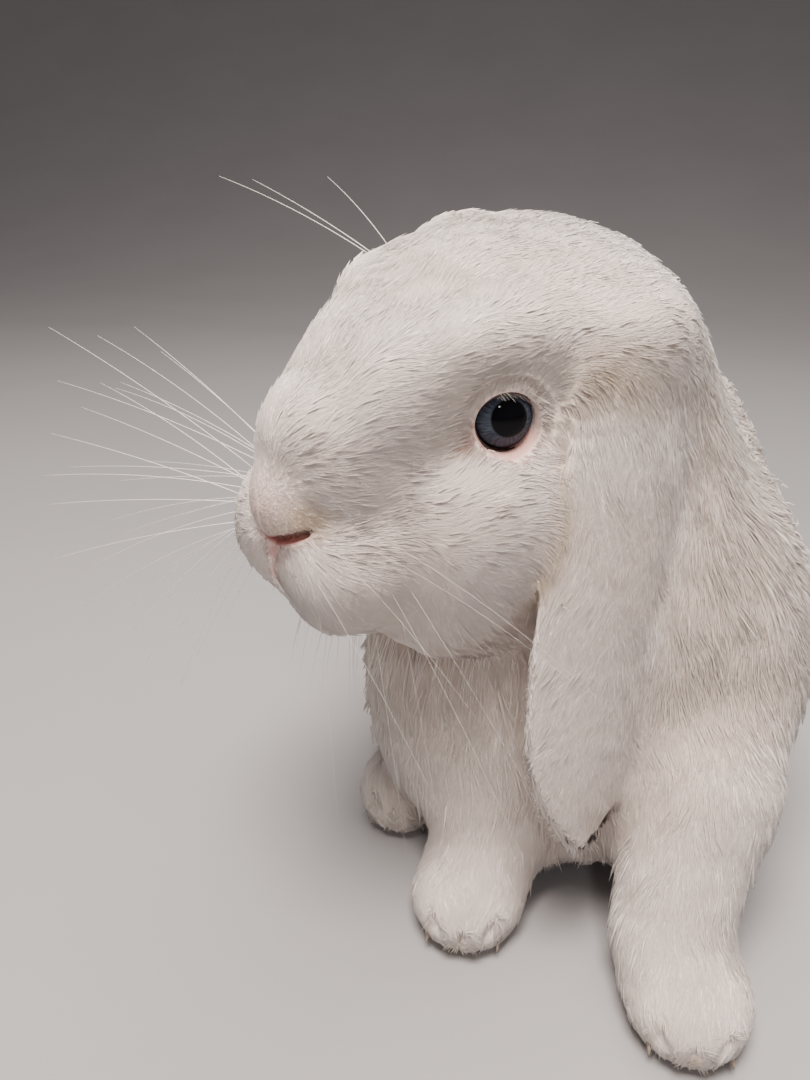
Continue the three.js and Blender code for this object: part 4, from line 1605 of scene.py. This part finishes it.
def tubes(paths: Array, radii: Array, sides: int = 5) -> tuple[Array, Array]:
    """Closed tapered tubes along many paths of equal count, joined in one mesh.

    Args:
        paths: Tubes by stations by three, in mm.
        radii: Tubes by stations.
        sides: Corners of the cross-section.

    Returns:
        Points and triangles. Each ring stands square to its path, and each end closes on a point.
    """
    count, stations, _ = paths.shape
    along = unit(np.gradient(paths, axis=1))
    aside = unit(np.cross(along, (0.31, 0.17, 0.93)))
    other = np.cross(along, aside)
    angle = np.arange(sides) * 2 * math.pi / sides
    cos, sin = np.cos(angle)[:, None], np.sin(angle)[:, None]
    ring = aside[:, :, None] * cos + other[:, :, None] * sin
    body = paths[:, :, None] + ring * radii[:, :, None, None]
    points = np.concatenate([body.reshape(count, -1, 3), paths[:, :1], paths[:, -1:]], axis=1)
    i, k = np.indices((stations - 1, sides)).reshape(2, -1)
    after = (k + 1) % sides
    a, b = i * sides + k, i * sides + after
    walls = np.concatenate([np.stack([a, b, b + sides], 1), np.stack([a, b + sides, a + sides], 1)])
    k, after = np.arange(sides), (np.arange(sides) + 1) % sides
    last = (stations - 1) * sides
    start = np.stack([np.full(sides, stations * sides), after, k], 1)
    end = np.stack([np.full(sides, stations * sides + 1), last + k, last + after], 1)
    shape = np.concatenate([walls, start, end])
    faces = shape[None] + np.arange(count)[:, None, None] * points.shape[1]
    return points.reshape(-1, 3), faces.reshape(-1, 3)


@dataclass
class Eye:
    """One eye: the ball with its cornea, the wet rim of its lids, and the lashes."""

    side: Side
    rings: int = 48
    sectors: int = 64

    def build(self) -> None:
        """Makes the eye's pieces."""
        self.ball()
        self.rim()
        self.lashes()

    def axes(self) -> tuple[Array, Array]:
        """The eye's centre in the body's frame, and its axes as columns, the third its gaze."""
        gaze = unit(HEAD.turned(np.array(EYE.gaze) * (1, self.side.value, 1)))
        level = unit(np.cross(gaze, (0.0, 0, 1)))
        axes = np.stack([level, np.cross(gaze, level), gaze], axis=1)
        return HEAD.to_body(EYE.middle(self.side)), axes

    def ball(self) -> bpy.types.Object:
        """A surface turned about the gaze: a sphere with the cornea's bulge over the iris."""
        centre, axes = self.axes()
        off = np.linspace(0, math.pi, self.rings + 1)[1:-1]
        turn = np.arange(self.sectors) * 2 * math.pi / self.sectors
        iris = math.radians(EYE.iris)
        dome = np.cos(np.minimum(off / iris, 1) * math.pi / 2) ** 0.8
        radius = EYE.radius - EYE.bulge * 0.4 + EYE.bulge * dome
        a, b = np.meshgrid(off, turn, indexing="ij")
        r = radius[:, None]
        aside = r * np.sin(a)
        local = np.stack([aside * np.cos(b), aside * np.sin(b), r * np.cos(a)], axis=-1)
        local = local.reshape(-1, 3)
        poles = np.array([(0, 0, EYE.radius + EYE.bulge * 0.6), (0, 0, -radius[-1])])
        points = centre + np.concatenate([local, poles]) @ axes.T
        n = self.sectors
        i, k = np.indices((len(off) - 1, n)).reshape(2, -1)
        p, q = i * n + k, i * n + (k + 1) % n
        top, bottom = len(local), len(local) + 1
        k, after, last = np.arange(n), (np.arange(n) + 1) % n, (len(off) - 1) * n
        faces = np.concatenate(
            [
                np.stack([p, p + n, q + n], 1),
                np.stack([p, q + n, q], 1),
                np.stack([np.full(n, top), k, after], 1),
                np.stack([np.full(n, bottom), last + after, last + k], 1),
            ]
        )
        piece = mesh_piece(f"eyeball_{self.side.name.lower()}", in_row(points), faces)
        polar = np.stack([b.ravel() / (2 * math.pi), a.ravel() / math.pi], axis=1)
        add_uv(piece, "polar", np.concatenate([polar, [(0.0, 0.0), (0.0, 1.0)]]))
        piece.data.materials.append(EyeFinish().material())
        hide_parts(f"eye_{self.side.name.lower()}")
        return piece

    def rim(self) -> bpy.types.Object:
        """The wet edge of the lids, a dark ring on the ball, broader over the eye and behind it,
        where it partly stands as painted shade under the upper lid.
        """
        angle = np.linspace(0, 2 * math.pi, 73)
        high = np.maximum(np.sin(angle), 0)
        behind = np.maximum(-np.cos(angle - 0.4), 0) ** 2
        widen, rise = 0.45 * behind - 0.1 * high, 0.15 + 0.75 * np.maximum(high, behind)
        path = HEAD.to_body(EYE.margin(self.side, angle, widen, rise))[None]
        radii = 0.37 + 0.45 * np.maximum(high, 1.1 * behind)
        points, faces = tubes(path, radii[None], 8)
        piece = mesh_piece(f"lid_rim_{self.side.name.lower()}", in_row(points), faces)
        piece.data.materials.append(LID_RIM.material())
        return piece

    def lashes(self) -> bpy.types.Object:
        """White lashes from the upper lid, curving out, back and down over the eye's far corner."""
        rng = np.random.default_rng(SEED)
        count = 60
        angle = np.radians(rng.uniform(55, 168, count))
        start = HEAD.to_body(EYE.margin(self.side, angle, 0.5, 1.1))
        out = unit(start - HEAD.to_body(EYE.middle(self.side)))
        sweep = HEAD.turned(np.array((-0.65, 0.2 * self.side.value, -0.65)))
        away = sweep + rng.normal(0, 0.14, (count, 3))
        long = rng.uniform(4.0, 7.5, count)[:, None]
        t = np.linspace(0, 1, 6)
        path = (
            start[:, None]
            + out[:, None] * (long * t * (1 - 0.35 * t))[..., None] * 0.55
            + away[:, None] * (long * t**1.5)[..., None] * 0.85
        )
        radii = np.tile(0.13 * (1 - 0.85 * t), (count, 1))
        points, faces = tubes(path, radii, 4)
        piece = mesh_piece(f"lashes_{self.side.name.lower()}", in_row(points), faces)
        piece.data.materials.append(HAIR.material())
        return piece


@dataclass
class Whiskers:
    """The whiskers of one pad, and the few long ones over the eye. Angles are in degrees."""

    side: Side
    aside: float  # how far they point away from the nose's own direction
    thick: float
    highest: float  # how far the top and the bottom row rise
    lowest: float
    rows: int = 6
    per_row: int = 5
    long: float = 64.0
    root_depth: float = 1.0

    def build(self, body: Body) -> bpy.types.Object:
        """Tapered hairs in rows over the pad, curving down as they go.

        Args:
            body: The field that their roots are settled on.

        Returns:
            The piece.
        """
        rng = np.random.default_rng(SEED + self.side.value)
        s = self.side.value
        row, place = np.indices((self.rows, self.per_row)).reshape(2, -1)
        down, back = row / (self.rows - 1), place / (self.per_row - 1)
        roots = np.stack([36 - 17 * back, (15 + 6 * back) * s, -27 - 15 * down - 2 * back], axis=1)
        roots += rng.normal(0, 0.5, roots.shape)
        fall = self.lowest - self.highest
        lift = np.radians(self.highest + fall * down + rng.normal(0, 5, len(roots)))
        aside = np.radians(self.aside + 14 * (back - 0.4) + rng.normal(0, 4, len(roots)))
        heading = unit(np.stack([np.cos(aside), s * np.sin(aside), np.tan(lift)], axis=1))
        long = self.long * (0.62 + 0.36 * np.sin(math.pi * (0.2 + 0.6 * back)))
        long = long * rng.uniform(0.8, 1.0, len(roots))
        brow_roots = np.array([(4.0, 17, 15), (0.0, 19, 16), (-5.0, 20, 17)])
        brow_heads = np.array([(0.75, 0.75, 0.5), (0.5, 0.9, 0.42), (0.3, 0.9, 0.75)])
        roots = np.concatenate([roots, brow_roots * (1, s, 1)])
        heading = np.concatenate([heading, unit(brow_heads * (1, s, 1))])
        long = np.concatenate([long, (38, 34, 24)])  # the hairs over the eye last
        start = settled(body.distance, HEAD.to_body(roots), 4, rounds=4)
        t = np.linspace(0, 1, 12)
        droop = long * rng.uniform(0.06, 0.16, len(long))
        path = start[:, None] + HEAD.turned(heading)[:, None] * (long[:, None] * t)[..., None]
        path = path + DOWNWARDS * (droop[:, None] * t**2)[..., None]
        path[:, 0] -= HEAD.turned(heading) * self.root_depth
        radii = np.tile(self.thick / 2 * (1 - 0.72 * t), (len(long), 1))
        points, faces = tubes(path, radii, 5)
        piece = mesh_piece(f"whisker_hairs_{self.side.name.lower()}", in_row(points), faces)
        piece.data.materials.append(HAIR.material())
        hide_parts(f"whiskers_{self.side.name.lower()}")
        return piece


@dataclass
class ThroatHairs:
    """Long fine hairs that hang from the edge of the jaw."""

    count: int = 150
    long: float = 19.0
    thick: float = 0.13

    def build(self, body: Body) -> bpy.types.Object:
        """Tapered hairs that start forwards and down and then hang.

        Args:
            body: The field that their roots are settled on.

        Returns:
            The piece.
        """
        rng = np.random.default_rng(SEED)
        side = rng.choice((-1.0, 1.0), self.count)
        back = rng.uniform(0, 1, self.count)
        spots = np.stack([24 - 42 * back, side * (5 + 20 * back), -58 - 8 * back], axis=1)
        spots += rng.normal(0, 2.2, spots.shape)
        start = settled(body.distance, HEAD.to_body(spots), 5, rounds=4)
        rise = unit(slope(body.distance, start))
        long = self.long * rng.uniform(0.5, 1.0, self.count)[:, None]
        t = np.linspace(0, 1, 8)
        heading = 0.35 * rise + np.array((-0.1, -0.25, -0.6)) + rng.normal(0, 0.1, rise.shape)
        reach = (long * t * (1 - 0.3 * t))[..., None]
        path = start[:, None] - 0.8 * rise[:, None] + unit(heading)[:, None] * reach
        path = path + DOWNWARDS * (0.35 * long * t**2)[..., None]
        radii = np.tile(self.thick / 2 * (1 - 0.75 * t), (self.count, 1))
        points, faces = tubes(path, radii, 4)
        piece = mesh_piece("throat_hairs", in_row(points), faces)
        piece.data.materials.append(HAIR.material())
        return piece


@dataclass
class Claws:
    """Four claws on each paw, mostly hidden in the hair of the toes."""

    long: float = 3.8
    thick: float = 0.95
    hook: float = 0.42  # how far the tip bends down, as a share of the length
    heading: Triple = (0.0, -0.95, -0.1)

    def build(self, body: Body) -> bpy.types.Object:
        """Curved cones from the toes, forwards and down to just over the floor."""
        starts = [
            (foot.x + i * foot.wide * 0.2, foot.toe + 4.2 + 1.1 * i * i, foot.high * 0.25)
            for foot in (*body.forefeet, *body.hindfeet)
            for i in (-1.5, -0.5, 0.5, 1.5)
        ]
        start = np.array(starts)[:, None]
        t = np.linspace(0, 1, 7)[None, :, None]
        path = start + self.long * t * np.array(self.heading)
        path = path + DOWNWARDS * self.long * self.hook * t**2
        radii = np.tile(self.thick * (1 - 0.86 * t[0, :, 0] ** 1.3), (len(start), 1))
        path[..., 2] = np.maximum(path[..., 2], radii + FLOOR_CLEARANCE)
        points, faces = tubes(path, radii, 8)
        piece = mesh_piece("claws", in_row(points), faces)
        piece.data.materials.append(CLAW.material())
        return piece


# ------------------------------------------------------------------------------- studio


@dataclass(frozen=True)
class Lamp:
    """A square soft light: where it stands from the rabbit's middle, its size, power and colour."""

    name: str
    place: Triple
    size: float
    watts: float
    colour: Triple

    def build(self, target: Vector) -> None:
        """Makes the light, aimed at the target."""
        data = bpy.data.lights.new(self.name, "AREA")
        data.size = self.size
        data.energy = self.watts
        data.color = self.colour
        lamp = bpy.data.objects.new(self.name, data)
        lamp.location = target + Vector(self.place)
        lamp.rotation_euler = (target - lamp.location).to_track_quat("-Z", "Y").to_euler()
        bpy.context.scene.collection.objects.link(lamp)


@dataclass
class Studio:
    """The plain floor that rises into a backdrop, the soft lights and the camera."""

    lens: float = 30.0
    camera_place: Triple = (-12.5, -168.8, 191.0)  # in the body's frame
    azimuth: float = 10.0
    pitch: float = 22.0
    floor_colour: Triple = (0.33, 0.33, 0.34)
    front: float = -3.0  # the floor's near edge, in metres as the next four
    turn_at: float = 0.9
    turn_radius: float = 2.2
    wall_top: float = 4.0
    half_width: float = 4.0
    sky: Triple = (0.92, 0.84, 0.83)
    sky_strength: float = 0.22
    lamps: tuple[Lamp, ...] = (
        Lamp("key", (0.0, -0.34, 0.66), 0.3, 13.0, (1.0, 0.88, 0.80)),
        Lamp("top", (0.1, 0.1, 1.1), 0.9, 15.0, (1.0, 0.91, 0.85)),
        Lamp("catch", (0.11, -0.617, 0.414), 0.05, 0.6, (1.0, 0.98, 0.96)),
    )

    def build(self) -> None:
        """Makes the whole studio."""
        self.set_camera()
        self.sweep()
        low, high = SOLID_BOX
        for lamp in self.lamps:
            lamp.build((low + high) / 2)
        world = bpy.data.worlds.new("studio")
        world.use_nodes = True
        background = world.node_tree.nodes["Background"]
        background.inputs["Color"].default_value = (*self.sky, 1)
        background.inputs["Strength"].default_value = self.sky_strength
        bpy.context.scene.world = world

    def set_camera(self) -> None:
        """A camera close in front of the face, above it and looking down."""
        data = bpy.data.cameras.new("camera")
        data.lens = self.lens
        data.clip_start = 0.01
        camera = bpy.data.objects.new("camera", data)
        turn, down = math.radians(self.azimuth), math.radians(self.pitch)
        level = math.cos(down)
        ahead = Vector((-math.sin(turn) * level, math.cos(turn) * level, -math.sin(down)))
        camera.location = Vector(in_row(np.array(self.camera_place)))
        camera.rotation_euler = ahead.to_track_quat("-Z", "Y").to_euler()
        bpy.context.scene.collection.objects.link(camera)
        bpy.context.scene.camera = camera

    def sweep(self) -> None:
        """A floor that turns up into a wall behind, as one profile carried sideways."""
        bend = np.linspace(0, math.pi / 2, 17)[1:]
        radius, back = self.turn_radius, self.turn_at + self.turn_radius
        curve_y, curve_z = self.turn_at + radius * np.sin(bend), radius * (1 - np.cos(bend))
        y = np.array([self.front, self.turn_at, *curve_y, back])
        z = np.array([0.0, 0.0, *curve_z, self.wall_top])
        sides = (-self.half_width, self.half_width)
        points = np.concatenate([np.stack([np.full(len(y), x), y, z], 1) for x in sides])
        i, n = np.arange(len(y) - 1), len(y)
        mesh = bpy.data.meshes.new("sweep")
        mesh.from_pydata(points.tolist(), [], np.stack([i, i + n, i + n + 1, i + 1], 1).tolist())
        mesh.polygons.foreach_set("use_smooth", np.ones(len(i), bool))
        floor = bpy.data.objects.new("sweep", mesh)
        bpy.context.scene.collection.objects.link(floor)
        shader = Shader("pale_floor")
        tint = shader.ranged(shader.noise(6.0), 0.3, 0.7)
        paler = tuple(c * 1.04 for c in self.floor_colour)
        colour = shader.mixed(tint, self.floor_colour, paler)
        shader.link(colour, shader.surface.inputs["Base Color"])
        shader.set(Roughness=0.9, Specular_IOR_Level=0.2)
        floor.data.materials.append(shader.material)


# ------------------------------------------------------------------------------- the rabbit


def main() -> None:
    """Builds the studio and the rabbit."""
    logging.basicConfig(level=logging.INFO, format="%(message)s")
    Studio().build()
    skin = Skin()
    skin.grow()
    skin.piece()
    coats = Coat(skin).grow()
    fur = CoatFinish().material()
    for piece in coats:
        piece.data.materials.append(fur)
    for side in Side:
        Eye(side).build()
    whiskers = (
        Whiskers(Side.LEFT, aside=88, thick=0.055, highest=10, lowest=-66, rows=3, per_row=3),
        Whiskers(Side.RIGHT, aside=62, thick=0.22, highest=28, lowest=-62),
    )
    for pad in whiskers:
        pad.build(skin.body)
    ThroatHairs().build(skin.body)
    Claws().build(skin.body)
    bpy.context.view_layer.update()


if __name__ == "__main__":
    main()
